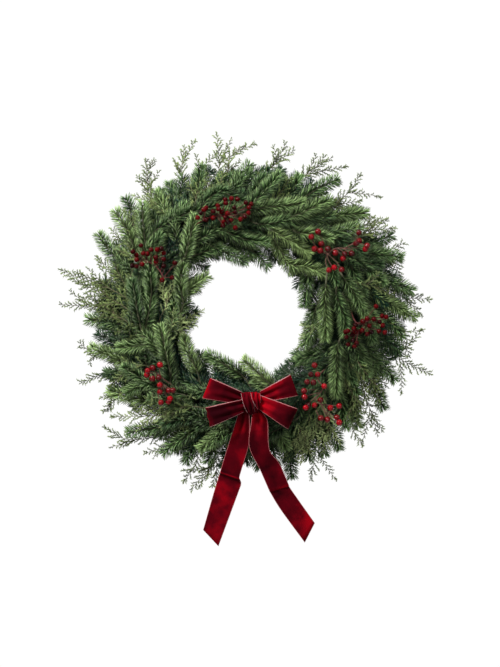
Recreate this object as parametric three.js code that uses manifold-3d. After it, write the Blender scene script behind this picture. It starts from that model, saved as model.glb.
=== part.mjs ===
// A fresh evergreen wreath that hangs on the ring inside it: bunches of fir and sprays of juniper bound to
// a wire ring with one long wire, two kinds of red berries on their stems, and a double bow of velvet ribbon.
//
// Millimetres, +X to the right, +Y to the back, +Z up. The front faces -Y. Places are first given from the
// middle of the ring, and the last lines lift the whole wreath so that its origin is the point where a hook
// carries it: the underside of the ring at twelve o'clock.
import * as THREE from "three";
import { mergeVertices } from "three/addons/utils/BufferGeometryUtils.js";
import Module from "manifold-3d";

const wasm = await Module();
wasm.setup();

// ---- driving dimensions ----
const RING_RADIUS = 200; // middle of the wreath to the centre line of the ring
const RING_WIRE = 2; // radius of the ring's wire
const SLOTS = 24; // places round the ring where a bunch can be bound
const SLOT_TURN = 360 / SLOTS;
const SLOT_SHIFT = -3; // keeps twelve o'clock free for the hook
const HOOK_TURN = 8; // degrees at twelve o'clock that the binding wire leaves free
const BUTT_TURN = 9; // degrees of the ring that a bound stem lies along
const BUTT_SIDES = 5;
const ROOT_SHARE = 0.12; // how far back from the end of a bound stem its sprigs start
const LEAD = 8; // least turn between a binding and the place where its sprig comes into view
const GAP = 0.3; // between pieces that touch
const FIR_BUTT = 2.4; // radius of a fir bunch's bound stem
const JUNIPER_BUTT = 1.6;
const BERRY_BUTT = 1.5;
const BINDING_WIRE = 0.55; // radius of the binding wire
const BINDING_REACH = 10.2; // from the ring's centre line to the corners of the binding wire
const BINDING_STEPS = 4; // straight runs in one turn of it
const BOW_WIRE = 0.9; // radius of the wire that ties the bow on

// Needles: their length and the width of their foot, the distance between two whorls, their lean from the
// stem in degrees at its start and at its tip, the stem's radius at both, and needles to a side of a whorl.
const FIR = { length: 18, base: 3, period: 13.2, lean: 60, tipLean: 34, stem: 2.3, end: 1.5, perSide: 2 };
const JUNIPER = { length: 9, base: 2.2, period: 16, lean: 42, tipLean: 28, stem: 1.4, end: 0.7, perSide: 1 };
const FIR_HIDDEN = 12; // how far back from where it comes into view a sprig still has needles
const TWIG_STEM = 0.95; // radius of a juniper twig where it leaves its stem
const TWIG_BARE = 12; // length of it that has no needles
const WHORL_TURN = 30; // degrees from one whorl to the next
const NEEDLE_LENGTHS = [0.86, 1.1]; // shortest and longest, as shares of the length above
const NEEDLE_FOOT = 1.5; // radius kept free round the foot of a needle
const NEEDLE_TIP = 0.1;
const SPRIG_BEND = 0.14; // furthest sideways bend of a sprig, as a share of its length
const NEAREST_BASE = 5; // least distance in front of the ring at which a sprig comes into view
const NEAREST_TIP = 2;
const SMALL_BERRY = 4.5; // radius of the matt berries
const LARGE_BERRY = 5.35; // radius of the glossy berries
const BERRY_STEM = 0.75; // radius of a berry's own stem
const FORK_STEM = 1.3; // radius of the twig that they grow from
const FORK_STEP = 6; // length of one run of that twig between its forks
const BERRY_SPREAD = 9; // how far behind the front of its cluster a berry may sit
const FORK_BACK = 15; // from the front of a cluster back to its forks
const RIBBON_THICK = 0.8;
const RIBBON_ROOM = 4; // kept free along both edges of a ribbon
const BARE_STEP = 28; // length of one straight run of a stem with no needles on it

// ---- colours ----
const FINISH = {
  fir: { color: "#3d6434", roughness: 0.6 },
  juniper: { color: "#758f4c", roughness: 0.65 },
  small_berries: { color: "#7d1118", roughness: 0.45 },
  large_berries: { color: "#a80713", roughness: 0.12 },
  ribbon: { color: "#6a0209", roughness: 0.85 },
  ring: { color: "#3c4a3a", roughness: 0.5, metalness: 0.6 },
  wire: { color: "#2e4a33", roughness: 0.5, metalness: 0.5 },
};

// ---- fir ----
// Each sprig: x and z where it comes into view, x and z of its tip, and how far both lie in front of the
// ring.
const FIR_SPRIGS = [
  // from nine to twelve o'clock
  [-235, 92, -280, 148, 16, 12],
  [-212, 122, -247, 192, 34, 26],
  [-134, 152, -168, 229, 36, 26],
  [-136, 186, -146, 246, 16, 8],
  [-96, 197, -86, 278, 28, 16],
  [-112, 118, -96, 180, 54, 50],
  // from twelve to three o'clock
  [-42, 217, 5, 283, 24, 14],
  [12, 206, 62, 260, 40, 28],
  [28, 198, 106, 208, 54, 46],
  [116, 224, 172, 254, 26, 16],
  [150, 180, 227, 190, 36, 26],
  [205, 130, 276, 148, 18, 12],
  [222, 112, 294, 107, 30, 18],
  [240, 70, 316, 44, 18, 12],
  // from three to six o'clock
  [248, 32, 321, -6, 26, 16],
  [195, 52, 227, -4, 54, 48],
  [150, 34, 150, -48, 58, 52],
  [118, 82, 112, 18, 26, 22],
  [172, -74, 170, -154, 62, 54],
  [232, -70, 284, -126, 18, 10],
  [160, -70, 102, -90, 30, 24],
  [200, -160, 214, -214, 24, 14],
  [160, -205, 177, -256, 24, 14],
  [82, -225, 88, -311, 10, 6],
  // from six to nine o'clock
  [36, -126, -2, -92, 46, 40],
  [-20, -110, -72, -80, 26, 20],
  [-94, -238, -114, -283, 12, 8],
  [-110, -232, -156, -266, 26, 16],
  [-152, -216, -222, -228, 26, 16],
  [-100, -96, -118, -47, 40, 34],
  [-200, -166, -260, -150, 24, 14],
  [-236, -92, -293, -67, 24, 14],
  [-150, -80, -162, -28, 56, 52],
  [-235, -24, -301, -12, 20, 12],
  [-205, 0, -215, 58, 54, 48],
  // along the edge of the hole
  [-108, 44, -76, 69, 34, 26],
  [-106, 106, -52, 124, 34, 28],
  [-50, 120, -2, 100, 34, 26],
  [2, 126, 41, 90, 28, 22],
  [60, 128, 88, 80, 34, 26],
  [62, 148, 119, 113, 54, 46],
];

// ---- juniper ----
// Each spray: the way of its stem as x, z and distance in front of the ring, then its side twigs as x and z
// of their root and of their tip.
const JUNIPER_SPRAYS = [
  {
    way: [[-120, 205, 10], [-124, 270, 6], [-119, 320, 4]],
    twigs: [[-122, 286, -100, 328], [-124, 262, -137, 293]],
  },
  {
    way: [[-66, 215, 8], [-52, 280, 4], [-56, 341, 2]],
    twigs: [[-52, 278, -29, 334]],
  },
  {
    way: [[14, 252, 6], [58, 289, 4], [91, 312, 2]],
    twigs: [[56, 287, 52, 321]],
  },
  {
    way: [[76, 238, 4], [120, 266, 2], [188, 281, 0]],
    twigs: [[116, 264, 134, 303]],
  },
  {
    way: [[160, 205, 8], [196, 231, 4], [218, 264, 2]],
    twigs: [[196, 230, 256, 224]],
  },
  {
    way: [[205, 142, 34], [236, 158, 24], [283, 162, 18]],
    twigs: [[230, 156, 258, 179]],
  },
  {
    way: [[258, 58, 6], [300, 32, 4], [349, 27, 2]],
    twigs: [[298, 33, 338, -4]],
  },
  {
    way: [[250, -30, 8], [288, -82, 6], [352, -116, 2]],
    twigs: [[288, -82, 337, -32], [292, -86, 298, -150]],
  },
  {
    way: [[140, -205, 8], [132, -276, 6], [124, -317, 4]],
    twigs: [[134, -262, 170, -316]],
  },
  {
    way: [[-40, -222, 6], [-64, -288, 4], [-104, -336, 2]],
    twigs: [[-68, -294, -118, -302]],
  },
  {
    way: [[-130, -228, 6], [-222, -243, 4], [-270, -221, 2]],
    twigs: [[-216, -243, -257, -257]],
  },
  {
    way: [[-222, -112, 6], [-274, -117, 4], [-317, -134, 2]],
    twigs: [[-246, -115, -264, -184]],
  },
  {
    way: [[-236, 4, 6], [-298, 12, 4], [-355, 17, 2]],
    twigs: [[-300, 12, -337, 42]],
  },
  {
    way: [[-214, 22, 22], [-262, 42, 14], [-353, 82, 6]],
    twigs: [[-256, 40, -282, 104]],
  },
  {
    way: [[-165, 152, 24], [-186, 228, 14], [-192, 292, 8]],
    twigs: [[-184, 222, -208, 261]],
  },
  {
    way: [[-172, -46, 34], [-140, -26, 38], [-88, 2, 34]],
    twigs: [[-134, -24, -124, 7]],
  },
];

// ---- berries ----
// Each cluster: the kind of berry, how far in front of the ring it stands, the forks of its stem as x and z,
// and the berries as x and z.
const BERRY_CLUSTERS = {
  top: {
    kind: "small_berries",
    front: 74,
    forks: [[-86, 172], [-58, 182], [-28, 186]],
    berries: [
      [-39, 213], [-15, 214], [0, 207], [9, 196], [-53, 203], [-77, 197], [-86, 187], [-93, 178], [-62, 190],
      [-44, 192], [-24, 200], [-20, 186], [-66, 176], [-3, 181], [-29, 173], [-43, 167], [-19, 162],
    ],
  },
  left: {
    kind: "small_berries",
    front: 70,
    forks: [[-158, 62], [-170, 88], [-194, 100]],
    berries: [
      [-198, 127], [-213, 115], [-196, 112], [-180, 119], [-164, 121], [-155, 111], [-156, 98], [-172, 105],
      [-207, 101], [-215, 89], [-202, 86], [-155, 86], [-134, 94], [-139, 66],
    ],
  },
  right: {
    kind: "small_berries",
    front: 72,
    forks: [[204, -12], [222, -24], [206, -42]],
    berries: [
      [245, 12], [257, -5], [228, -11], [241, -13], [217, -16], [258, -24], [206, -24], [233, -27],
      [192, -34], [217, -33], [247, -36], [229, -40], [262, -38], [189, -47], [202, -52], [193, -61],
      [207, -65],
    ],
  },
  upper_right: {
    kind: "large_berries",
    front: 74,
    forks: [[150, 112], [170, 122], [202, 120]],
    berries: [
      [136, 153], [123, 143], [142, 130], [129, 119], [142, 115], [155, 126], [168, 113], [184, 112],
      [199, 110], [154, 80], [166, 88], [181, 82], [204, 133], [216, 136], [229, 126], [213, 152],
    ],
  },
  lower_left: {
    kind: "large_berries",
    front: 74,
    forks: [[-152, -128], [-170, -112], [-150, -154]],
    berries: [
      [-162, -97], [-176, -103], [-188, -110], [-177, -123], [-164, -121], [-162, -136], [-162, -150],
      [-137, -146], [-142, -161], [-148, -172], [-161, -169],
    ],
  },
  lower_right: {
    kind: "large_berries",
    front: 80,
    forks: [[136, -120], [145, -142], [130, -166], [158, -176]],
    berries: [
      [129, -99], [121, -115], [136, -116], [114, -130], [128, -132], [148, -138], [109, -146], [111, -159],
      [141, -164], [118, -172], [129, -180], [159, -179], [175, -175], [141, -197], [154, -203], [174, -206],
    ],
  },
};

// ---- bow ----
// The loops: their edges at the knot and at the outer fold as x and z, and how far out of its own plane each
// is bowed. The tails: x and z of both edges and the distance in front of the ring, from the knot down.
const BOW_FRONT = 98; // middle of the knot in front of the ring
const KNOT = { left: -10, right: 28, top: -149, bottom: -191, depth: 32 };
const LOOPS = {
  upper_left: { knot: [[-10.6, -149], [-10.6, -160]], fold: [[-66, -122], [-80, -160]], front: 13, back: 12 },
  lower_left: { knot: [[-10.6, -162], [-10.6, -186]], fold: [[-75, -177], [-66, -213]], front: 15, back: 12 },
  upper_right: { knot: [[28.6, -149], [28.6, -156]], fold: [[83, -117], [96, -155]], front: 13, back: 12 },
  lower_right: { knot: [[28.6, -158], [28.6, -181]], fold: [[95, -179], [78, -216]], front: 15, back: 12 },
};
const LOOP_STEPS = 8; // rows of corners in one half of a loop
const LOOP_PINCH = 0.35; // share of its bowing out that a loop keeps beside the knot
const LOOP_ENDS = 1.2; // half the distance between the two ends of its strip
const KNOT_SIDES = 10;
const KNOT_SQUARE = 0.7; // below 1, and the knot's section is squarer than an ellipse
const TAILS = {
  left: [
    [-13, -191.5, 6, -191.5, 94],
    [-22, -215, 7, -217, 92],
    [-33, -248, 5, -248, 86],
    [-47, -298, -9, -300, 76],
    [-54, -320, -12, -318, 70],
    [-58, -332, -10, -330, 68],
    [-81, -410, -52, -441, 58],
  ],
  right: [
    [12, -191.5, 31, -191.5, 92],
    [10, -208, 42, -208, 92],
    [6, -247, 46, -257, 88],
    [30, -304, 66, -287, 78],
    [46, -341, 81, -326, 70],
    [52, -352, 86, -335, 68],
    [112, -434, 130, -396, 58],
  ],
};

// ---- small helpers ----
const radians = THREE.MathUtils.degToRad;
const vector = (x, y, z) => new THREE.Vector3(x, y, z);
// A number from 0 to 1 that looks drawn by chance and is the same every time.
const draw = (n) => {
  const wave = Math.sin(n * 12.9898) * 43758.5453;
  return wave - Math.floor(wave);
};
const clockOf = (x, z) => (THREE.MathUtils.radToDeg(Math.atan2(x, z)) + 360) % 360;
// A point beside the ring: turn is the clock angle, out and front are measured from its centre line.
const byRing = (turn, out = 0, front = 0) =>
  vector(
    (RING_RADIUS + out) * Math.sin(radians(turn)),
    -front,
    (RING_RADIUS + out) * Math.cos(radians(turn)),
  );

// A closed mesh under construction: its corners and its triangles.
class Skin {
  corners = [];
  triangles = [];
  corner(p) {
    this.corners.push(p.x, p.y, p.z);
    return this.corners.length / 3 - 1;
  }
  triangle(a, b, c) {
    this.triangles.push(a, b, c);
  }
  // A triangle drawn out to a point, which is how a needle stands on its stem.
  raise(a, b, c, tip) {
    const t = this.corner(tip);
    this.triangle(a, b, t);
    this.triangle(b, c, t);
    this.triangle(c, a, t);
  }
  point(i) {
    return vector(...this.corners.slice(3 * i, 3 * i + 3));
  }
  solid() {
    return new wasm.Manifold(
      new wasm.Mesh({
        numProp: 3,
        vertProperties: new Float32Array(this.corners),
        triVerts: new Uint32Array(this.triangles),
      }),
    );
  }
}

// The solids joined into one body: a hollow that this seals is filled and a loose scrap is dropped.
function joined(solids) {
  const bodies = solids.reduce((sum, next) => sum.add(next)).decompose();
  return bodies.reduce((most, body) => (body.volume() > most.volume() ? body : most));
}

function node(name, finish, solid) {
  const mesh = solid.getMesh();
  const geometry = new THREE.BufferGeometry();
  geometry.setAttribute("position", new THREE.BufferAttribute(mesh.vertProperties, 3));
  geometry.setIndex(new THREE.BufferAttribute(mesh.triVerts, 1));
  const made = new THREE.Mesh(geometry, new THREE.MeshStandardMaterial(FINISH[finish]));
  made.name = name;
  return made;
}

// ---- room ----
// Everything already in place is kept as short tapering rods, so that what comes later can be led clear of
// it.
const CELL = 24;
const room = new Map();

function cellsOf(a, b, reach) {
  const keys = [];
  const low = a.clone().min(b).subScalar(reach);
  const high = a.clone().max(b).addScalar(reach);
  for (let i = Math.floor(low.x / CELL); i <= Math.floor(high.x / CELL); i++)
    for (let j = Math.floor(low.y / CELL); j <= Math.floor(high.y / CELL); j++)
      for (let k = Math.floor(low.z / CELL); k <= Math.floor(high.z / CELL); k++) keys.push(`${i},${j},${k}`);
  return keys;
}

function occupy(rod) {
  for (const key of cellsOf(rod.a, rod.b, Math.max(rod.ra, rod.rb))) {
    if (!room.has(key)) room.set(key, []);
    room.get(key).push(rod);
  }
}

// The gap between two tapering rods, from the nearest points of their centre lines.
function gapBetween(p, q) {
  const u = q.a.clone().sub(p.a);
  const dp = p.b.clone().sub(p.a);
  const dq = q.b.clone().sub(q.a);
  const pp = dp.dot(dp) || 1e-9;
  const qq = dq.dot(dq) || 1e-9;
  const pq = dp.dot(dq);
  const flat = pp * qq - pq * pq;
  let s = flat > 1e-6 ? (u.dot(dp) * qq - u.dot(dq) * pq) / flat : 0;
  s = Math.min(1, Math.max(0, s));
  let t = Math.min(1, Math.max(0, (s * pq - u.dot(dq)) / qq));
  s = Math.min(1, Math.max(0, (u.dot(dp) + t * pq) / pp));
  t = Math.min(1, Math.max(0, (s * pq - u.dot(dq)) / qq));
  const near = p.a.clone().addScaledVector(dp, s);
  const far = q.a.clone().addScaledVector(dq, t);
  return near.distanceTo(far) - (p.ra + (p.rb - p.ra) * s) - (q.ra + (q.rb - q.ra) * t);
}

// The least gap between a rod and all that is in place, apart from what `own` leaves out.
function leastGap(rod, own) {
  let least = CELL;
  for (const key of cellsOf(rod.a, rod.b, Math.max(rod.ra, rod.rb) + 2))
    for (const other of room.get(key) ?? []) if (!own(other)) least = Math.min(least, gapBetween(rod, other));
  return least;
}

// ---- stems ----
const SIDES = 3;
const FACE_TURNS = [82, 30]; // from a corner of a whorl round to the needles of the face after it, in degrees
const SHORTER = [1, 0.7, 0.45]; // the lengths tried for a needle, one after the other
const TIP_LEAN = Math.PI / 9; // of the last needles
const TIP_SHARE = 0.8; // their length as a share of the others'

// Two directions square to a stem, the second one towards the front.
function across(tangent) {
  const side = tangent.clone().cross(vector(0, 1, 0)).normalize();
  return [side, side.clone().cross(tangent).normalize().negate()];
}

function ringOfCorners(skin, middle, tangent, radius, phase) {
  const [side, up] = across(tangent);
  const corners = [];
  for (let j = 0; j < SIDES; j++) {
    const a = phase + (2 * Math.PI * j) / SIDES;
    const p = middle.clone();
    p.addScaledVector(side, radius * Math.cos(a)).addScaledVector(up, radius * Math.sin(a));
    corners.push(skin.corner(p));
  }
  return corners;
}

// The stations of a stem: plain ones every BARE_STEP up to where its needles start, then a close pair for
// each whorl of needles.
function stationsOf(length, from, needle) {
  const stations = [];
  const bare = Math.max(1, Math.round(from / BARE_STEP));
  for (let i = 0; i < bare; i++) stations.push({ s: (from * i) / bare, whorl: -1 });
  const whorls = Math.max(1, Math.round((length - from - needle.base) / needle.period));
  const period = (length - from - 2) / whorls;
  for (let w = 0; w < whorls; w++) {
    stations.push({ s: from + w * period, whorl: w });
    stations.push({ s: from + w * period + needle.base, whorl: -1, phase: w });
  }
  return stations;
}

// A stem with needles raised from its faces. The needles stand in whorls of six, each whorl turned a little
// from the last, and lean further forward towards the tip. One that has no room is made shorter or left out.
function needledStem(curve, radius, from, needle, own, seed) {
  const skin = new Skin();
  const length = curve.getLength();
  const rows = stationsOf(length, from, needle).map((station) => {
    const t = station.s / length;
    const turn = radians(WHORL_TURN) * Math.max(0, station.whorl, station.phase ?? 0);
    const tangent = curve.getTangentAt(t);
    const corners = ringOfCorners(skin, curve.getPointAt(t), tangent, radius(t), turn);
    return { ...station, turn, tangent, corners };
  });
  const share = (s) => Math.max(0, (s - from) / (length - from));
  rows.slice(0, -1).forEach((row, i) => {
    const next = rows[i + 1];
    const lean = radians(needle.lean + (needle.tipLean - needle.lean) * share(row.s));
    for (let j = 0; j < SIDES; j++) {
      const k = (j + 1) % SIDES;
      const halves = [
        [row.corners[j], row.corners[k], next.corners[k]],
        [row.corners[j], next.corners[k], next.corners[j]],
      ];
      const corner = row.turn + (2 * Math.PI * j) / SIDES;
      const [short, long] = NEEDLE_LENGTHS;
      const size = needle.length * (short + (long - short) * draw(seed + 7 * row.whorl + j));
      halves.forEach((half, h) => {
        if (row.whorl < 0 || h >= needle.perSide) skin.triangle(...half);
        else growNeedle(skin, half, row.tangent, corner + radians(FACE_TURNS[h]), lean, size, own);
      });
    }
  });
  closeTip(skin, curve, lastOf(rows), needle.length, own);
  const [p, q, r] = rows[0].corners;
  skin.triangle(p, r, q);
  return skin.solid();
}

// Draws one face of a stem out to a needle, if there is room for it.
function growNeedle(skin, face, tangent, angle, lean, length, own) {
  const foot = middleOf(skin, face);
  const [side, up] = across(tangent);
  const way = tangent.clone().multiplyScalar(Math.cos(lean));
  way.addScaledVector(side, Math.sin(lean) * Math.cos(angle));
  way.addScaledVector(up, Math.sin(lean) * Math.sin(angle));
  for (const part of SHORTER) {
    const tip = foot.clone().addScaledVector(way, length * part);
    const rod = { a: foot, b: tip, ra: NEEDLE_FOOT, rb: NEEDLE_TIP, ...own };
    if (leastGap(rod, (other) => other.stem === own.stem) < GAP) continue;
    occupy(rod);
    skin.raise(...face, tip);
    return;
  }
  skin.triangle(...face);
}

// The end of a needled stem: a blunt point with the last needles round it.
function closeTip(skin, curve, last, length, own) {
  const end = skin.corner(curve.getPointAt(1));
  for (let j = 0; j < SIDES; j++) {
    const angle = last.turn + (2 * Math.PI * (j + 0.5)) / SIDES;
    const face = [last.corners[j], last.corners[(j + 1) % SIDES], end];
    growNeedle(skin, face, last.tangent, angle, TIP_LEAN, length * TIP_SHARE, own);
  }
}

// A solid drawn through rows of corners, each row counter-clockwise seen from the end.
function loft(rows) {
  const skin = new Skin();
  const made = rows.map((row) => row.map((p) => skin.corner(p)));
  const sides = rows[0].length;
  for (let i = 0; i + 1 < made.length; i++)
    for (let j = 0; j < sides; j++) {
      const k = (j + 1) % sides;
      skin.triangle(made[i][j], made[i][k], made[i + 1][k]);
      skin.triangle(made[i][j], made[i + 1][k], made[i + 1][j]);
    }
  const end = made[made.length - 1];
  for (let j = 1; j + 1 < sides; j++) {
    skin.triangle(made[0][0], made[0][j + 1], made[0][j]);
    skin.triangle(end[0], end[j], end[j + 1]);
  }
  return skin.solid();
}

const tangentAt = (points, i) =>
  points[Math.min(points.length - 1, i + 1)].clone().sub(points[Math.max(0, i - 1)]).normalize();

// The rows of corners of a plain stem through the points given.
function stemRows(points, radii, sides) {
  return points.map((p, i) => {
    const tangent = tangentAt(points, i);
    const steady = Math.abs(tangent.y) > 0.9 ? vector(1, 0, 0) : vector(0, 1, 0);
    const side = tangent.clone().cross(steady).normalize();
    const up = tangent.clone().cross(side);
    return Array.from({ length: sides }, (_, j) => {
      const a = (2 * Math.PI * j) / sides;
      const q = p.clone().addScaledVector(side, radii[i] * Math.cos(a));
      return q.addScaledVector(up, radii[i] * Math.sin(a));
    });
  });
}

// A plain stem or wire with closed ends.
const plainStem = (points, radii, sides = SIDES) => loft(stemRows(points, radii, sides));

function occupyPoints(points, radii, own) {
  for (let i = 0; i + 1 < points.length; i++)
    occupy({ a: points[i], b: points[i + 1], ra: radii[i], rb: radii[i + 1], ...own });
}

const lastOf = (list) => list[list.length - 1];
const steadyRadius = (points, radius) => points.map(() => radius);
const taper = (from, to) => (t) => from + (to - from) * t;

// ---- the ring and its wires ----
const wreath = new THREE.Group();

function ring() {
  const torus = new THREE.TorusGeometry(RING_RADIUS, RING_WIRE, 5, 36).rotateX(Math.PI / 2);
  torus.deleteAttribute("normal");
  torus.deleteAttribute("uv");
  const merged = mergeVertices(torus);
  const solid = new wasm.Manifold(
    new wasm.Mesh({
      numProp: 3,
      vertProperties: merged.attributes.position.array,
      triVerts: new Uint32Array(merged.index.array),
    }),
  );
  const points = Array.from({ length: 49 }, (_, i) => byRing(7.5 * i));
  occupyPoints(points, steadyRadius(points, RING_WIRE), { node: "ring", stem: "ring" });
  return node("wire_ring", "ring", solid);
}

// One wire wound round the ring and the stems that lie on it, a turn to each slot.
function bindingWire() {
  const from = SLOT_SHIFT - BUTT_TURN / 2 + 2 * (SLOT_TURN / BINDING_STEPS);
  const steps = Math.round(((360 - HOOK_TURN) / SLOT_TURN) * BINDING_STEPS);
  const points = Array.from({ length: steps + 1 }, (_, i) => {
    const turn = from + (i * SLOT_TURN) / BINDING_STEPS;
    const wind = radians(((turn - SLOT_SHIFT + BUTT_TURN / 2) * 360) / SLOT_TURN);
    return byRing(turn, BINDING_REACH * Math.sin(wind), BINDING_REACH * Math.cos(wind));
  });
  occupyPoints(points, steadyRadius(points, BINDING_WIRE), { node: "binding", stem: "binding" });
  return node("binding_wire", "wire", plainStem(points, steadyRadius(points, BINDING_WIRE)));
}

// The wire that ties the bow to the foot of the ring and hooks under it.
function bowWire() {
  const middle = (KNOT.left + KNOT.right) / 2;
  const hook = RING_WIRE + GAP + BOW_WIRE;
  const points = [
    vector(middle, -(BOW_FRONT - KNOT.depth / 2 - GAP), -168),
    vector(middle * 0.8, -50, -178),
    vector(middle * 0.3, -16, -190),
    vector(0, -hook * 0.8, -RING_RADIUS + hook * 0.8),
    vector(0, hook * 0.8, -RING_RADIUS + hook * 0.8),
    vector(0, hook * 0.8, -RING_RADIUS - hook * 0.8),
    vector(0, -hook * 0.4, -RING_RADIUS - hook),
  ];
  occupyPoints(points, steadyRadius(points, BOW_WIRE), { node: "bow_wire", stem: "bow_wire" });
  return node("bow_wire", "wire", plainStem(points, steadyRadius(points, BOW_WIRE), 5));
}

// ---- the bow ----
// A strip of ribbon from the points of its two edges.
function ribbon(name, edges) {
  const middles = edges.map(([a, b]) => a.clone().add(b).multiplyScalar(0.5));
  const rows = edges.map(([a, b], i) => {
    const width = b.clone().sub(a).normalize();
    const thick = tangentAt(middles, i).cross(width).normalize().multiplyScalar(RIBBON_THICK / 2);
    return [a.clone().sub(thick), b.clone().sub(thick), b.clone().add(thick), a.clone().add(thick)];
  });
  for (const [a, b] of edges) occupy({ a, b, ra: RIBBON_ROOM, rb: RIBBON_ROOM, node: name, stem: name });
  return node(name, "ribbon", loft(rows));
}

// A loop: its strip runs out in front from the knot to the fold, and back behind.
function bowLoop(name, { knot, fold, front, back }) {
  const edges = [];
  for (let i = 0; i <= 2 * LOOP_STEPS; i++) {
    const a = (Math.PI * i) / LOOP_STEPS;
    const outgoing = i < LOOP_STEPS;
    const out = (1 - Math.cos(a)) / 2;
    const ends = LOOP_ENDS * (1 - out) * (outgoing ? 1 : -1);
    const bow = Math.sin(a) * (LOOP_PINCH + (1 - LOOP_PINCH) * out) * (outgoing ? front : back);
    const edge = (k) =>
      vector(
        knot[k][0] + (fold[k][0] - knot[k][0]) * out,
        -(BOW_FRONT + ends + bow),
        knot[k][1] + (fold[k][1] - knot[k][1]) * out,
      );
    edges.push([edge(0), edge(1)]);
  }
  return ribbon(name, edges);
}

function bowTail(name, stations) {
  return ribbon(
    name,
    stations.map(([xl, zl, xr, zr, front]) => [vector(xl, -front, zl), vector(xr, -front, zr)]),
  );
}

// The band wound round the middle of the bow, narrower at its foot.
function bowKnot() {
  const sections = [
    [KNOT.top, 0.94],
    [KNOT.top - 2, 1],
    [KNOT.top - 14, 1],
    [KNOT.bottom + 16, 0.96],
    [KNOT.bottom + 3, 0.86],
    [KNOT.bottom, 0.72],
  ];
  const middle = (KNOT.left + KNOT.right) / 2;
  const wide = (KNOT.right - KNOT.left) / 2;
  const square = (v) => Math.sign(v) * Math.abs(v) ** KNOT_SQUARE;
  const rows = sections.map(([z, share]) =>
    Array.from({ length: KNOT_SIDES }, (_, j) => {
      const a = (2 * Math.PI * j) / KNOT_SIDES;
      const x = middle + wide * share * square(Math.cos(a));
      return vector(x, -(BOW_FRONT + (KNOT.depth / 2) * share * square(Math.sin(a))), z);
    }),
  );
  return node("bow_knot", "ribbon", loft(rows));
}

// ---- fir ----
const slotOf = (x, z) => (Math.floor((clockOf(x, z) - LEAD - SLOT_SHIFT) / SLOT_TURN) + SLOTS) % SLOTS;
const turnOf = (slot) => slot * SLOT_TURN + SLOT_SHIFT;

// The slot for a stem that comes into view at x, z, or the nearest one before it that is still free.
function freeSlot([x, z], taken) {
  let slot = slotOf(x, z);
  while (taken.has(slot)) slot = (slot + SLOTS - 1) % SLOTS;
  taken.add(slot);
  return slot;
}

// The bound stem of a bunch: straight, along the ring. `out` and `front` place it beside the ring's wire. A
// straight stem outside the ring lies further out by as much as the ring bulges between its ends.
function butt(slot, radius, out, front) {
  const bulge = RING_RADIUS * (1 - Math.cos(radians(BUTT_TURN / 2)));
  const beside = out > 0 ? out + bulge : out;
  const points = [turnOf(slot) - BUTT_TURN, turnOf(slot)].map((turn) => byRing(turn, beside, front));
  const radii = [radius, radius * 0.9];
  const start = points[1].clone().lerp(points[0], ROOT_SHARE);
  return { points, radii, start, solid: plainStem(points, radii, BUTT_SIDES) };
}

// The way of one sprig: out of the bound stem, round to where it comes into view, and on to its tip.
function sprigCurve(start, [x0, z0, x1, z1, front0, front1], shift, seed) {
  const base = vector(x0, -Math.max(front0 + shift, NEAREST_BASE), z0);
  const tip = vector(x1, -Math.max(front1 + shift, NEAREST_TIP), z1);
  const bend = (draw(seed) - 0.5) * SPRIG_BEND;
  const middle = base.clone().add(tip).multiplyScalar(0.5);
  middle.add(vector(-(tip.z - base.z) * bend, 0, (tip.x - base.x) * bend));
  const way = middle.clone().sub(base).normalize();
  const knee = base.clone().addScaledVector(way, -0.5 * base.distanceTo(start));
  const curve = new THREE.CurvePath();
  curve.add(new THREE.QuadraticBezierCurve3(start, knee, base));
  curve.add(new THREE.QuadraticBezierCurve3(base, middle, tip));
  return curve;
}

const SHIFTS = [0, -5, 5, -10, 10, -15, 15, -20, 20, -25, 25, -30, 30, -35]; // forward or back, to find room
const CLEAR = 1.6; // least room between the stems of two bunches
const FREE = 14; // length at the start of a stem where GAP is room enough
const PROBE = 6; // distance between the points at which that room is measured

// Tries each shift in turn and keeps the first curve that is clear of what is in place, or else the best.
function settled(makeCurve, radius, own) {
  let best = null;
  for (const shift of SHIFTS) {
    const curve = makeCurve(shift);
    const length = curve.getLength();
    const points = curve.getSpacedPoints(Math.ceil(length / PROBE));
    const radii = points.map((_, i) => radius(i / (points.length - 1)));
    let spare = CELL;
    for (let i = 1; i + 1 < points.length; i++) {
      const rod = { a: points[i], b: points[i + 1], ra: radii[i], rb: radii[i + 1] };
      const wanted = i * PROBE < FREE ? GAP : CLEAR;
      spare = Math.min(spare, leastGap(rod, (o) => o.node === own.node) - wanted);
    }
    if (!best || spare > best.spare) best = { curve, points, radii, spare };
    if (spare >= 0) break;
  }
  occupyPoints(best.points, best.radii, own);
  return best;
}

function planFir() {
  const bunches = new Map();
  FIR_SPRIGS.forEach((row, i) => {
    const slot = slotOf(row[0], row[1]);
    if (!bunches.has(slot)) bunches.set(slot, []);
    bunches.get(slot).push({ row, seed: i + 1 });
  });
  const planned = [];
  for (const slot of [...bunches.keys()].sort((a, b) => a - b)) {
    const name = `fir_bunch_${String(slot + 1).padStart(2, "0")}`;
    const stem = butt(slot, FIR_BUTT, 0, RING_WIRE + GAP + FIR_BUTT);
    occupyPoints(stem.points, stem.radii, { node: name, stem: name });
    planned.push({ name, finish: "fir", needle: FIR, parts: [stem.solid], stem, sprigs: bunches.get(slot) });
  }
  for (const bunch of planned)
    bunch.curves = bunch.sprigs.map(({ row, seed }) => {
      const radius = taper(FIR.stem, FIR.end);
      const own = { node: bunch.name, stem: `${bunch.name}/${seed}` };
      const found = settled((shift) => sprigCurve(bunch.stem.start, row, shift, seed), radius, own);
      const hidden = found.curve.curves[0].getLength();
      return { ...found, radius, own, seed, from: hidden - FIR_HIDDEN, front: row[4] };
    });
  return planned;
}

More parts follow.
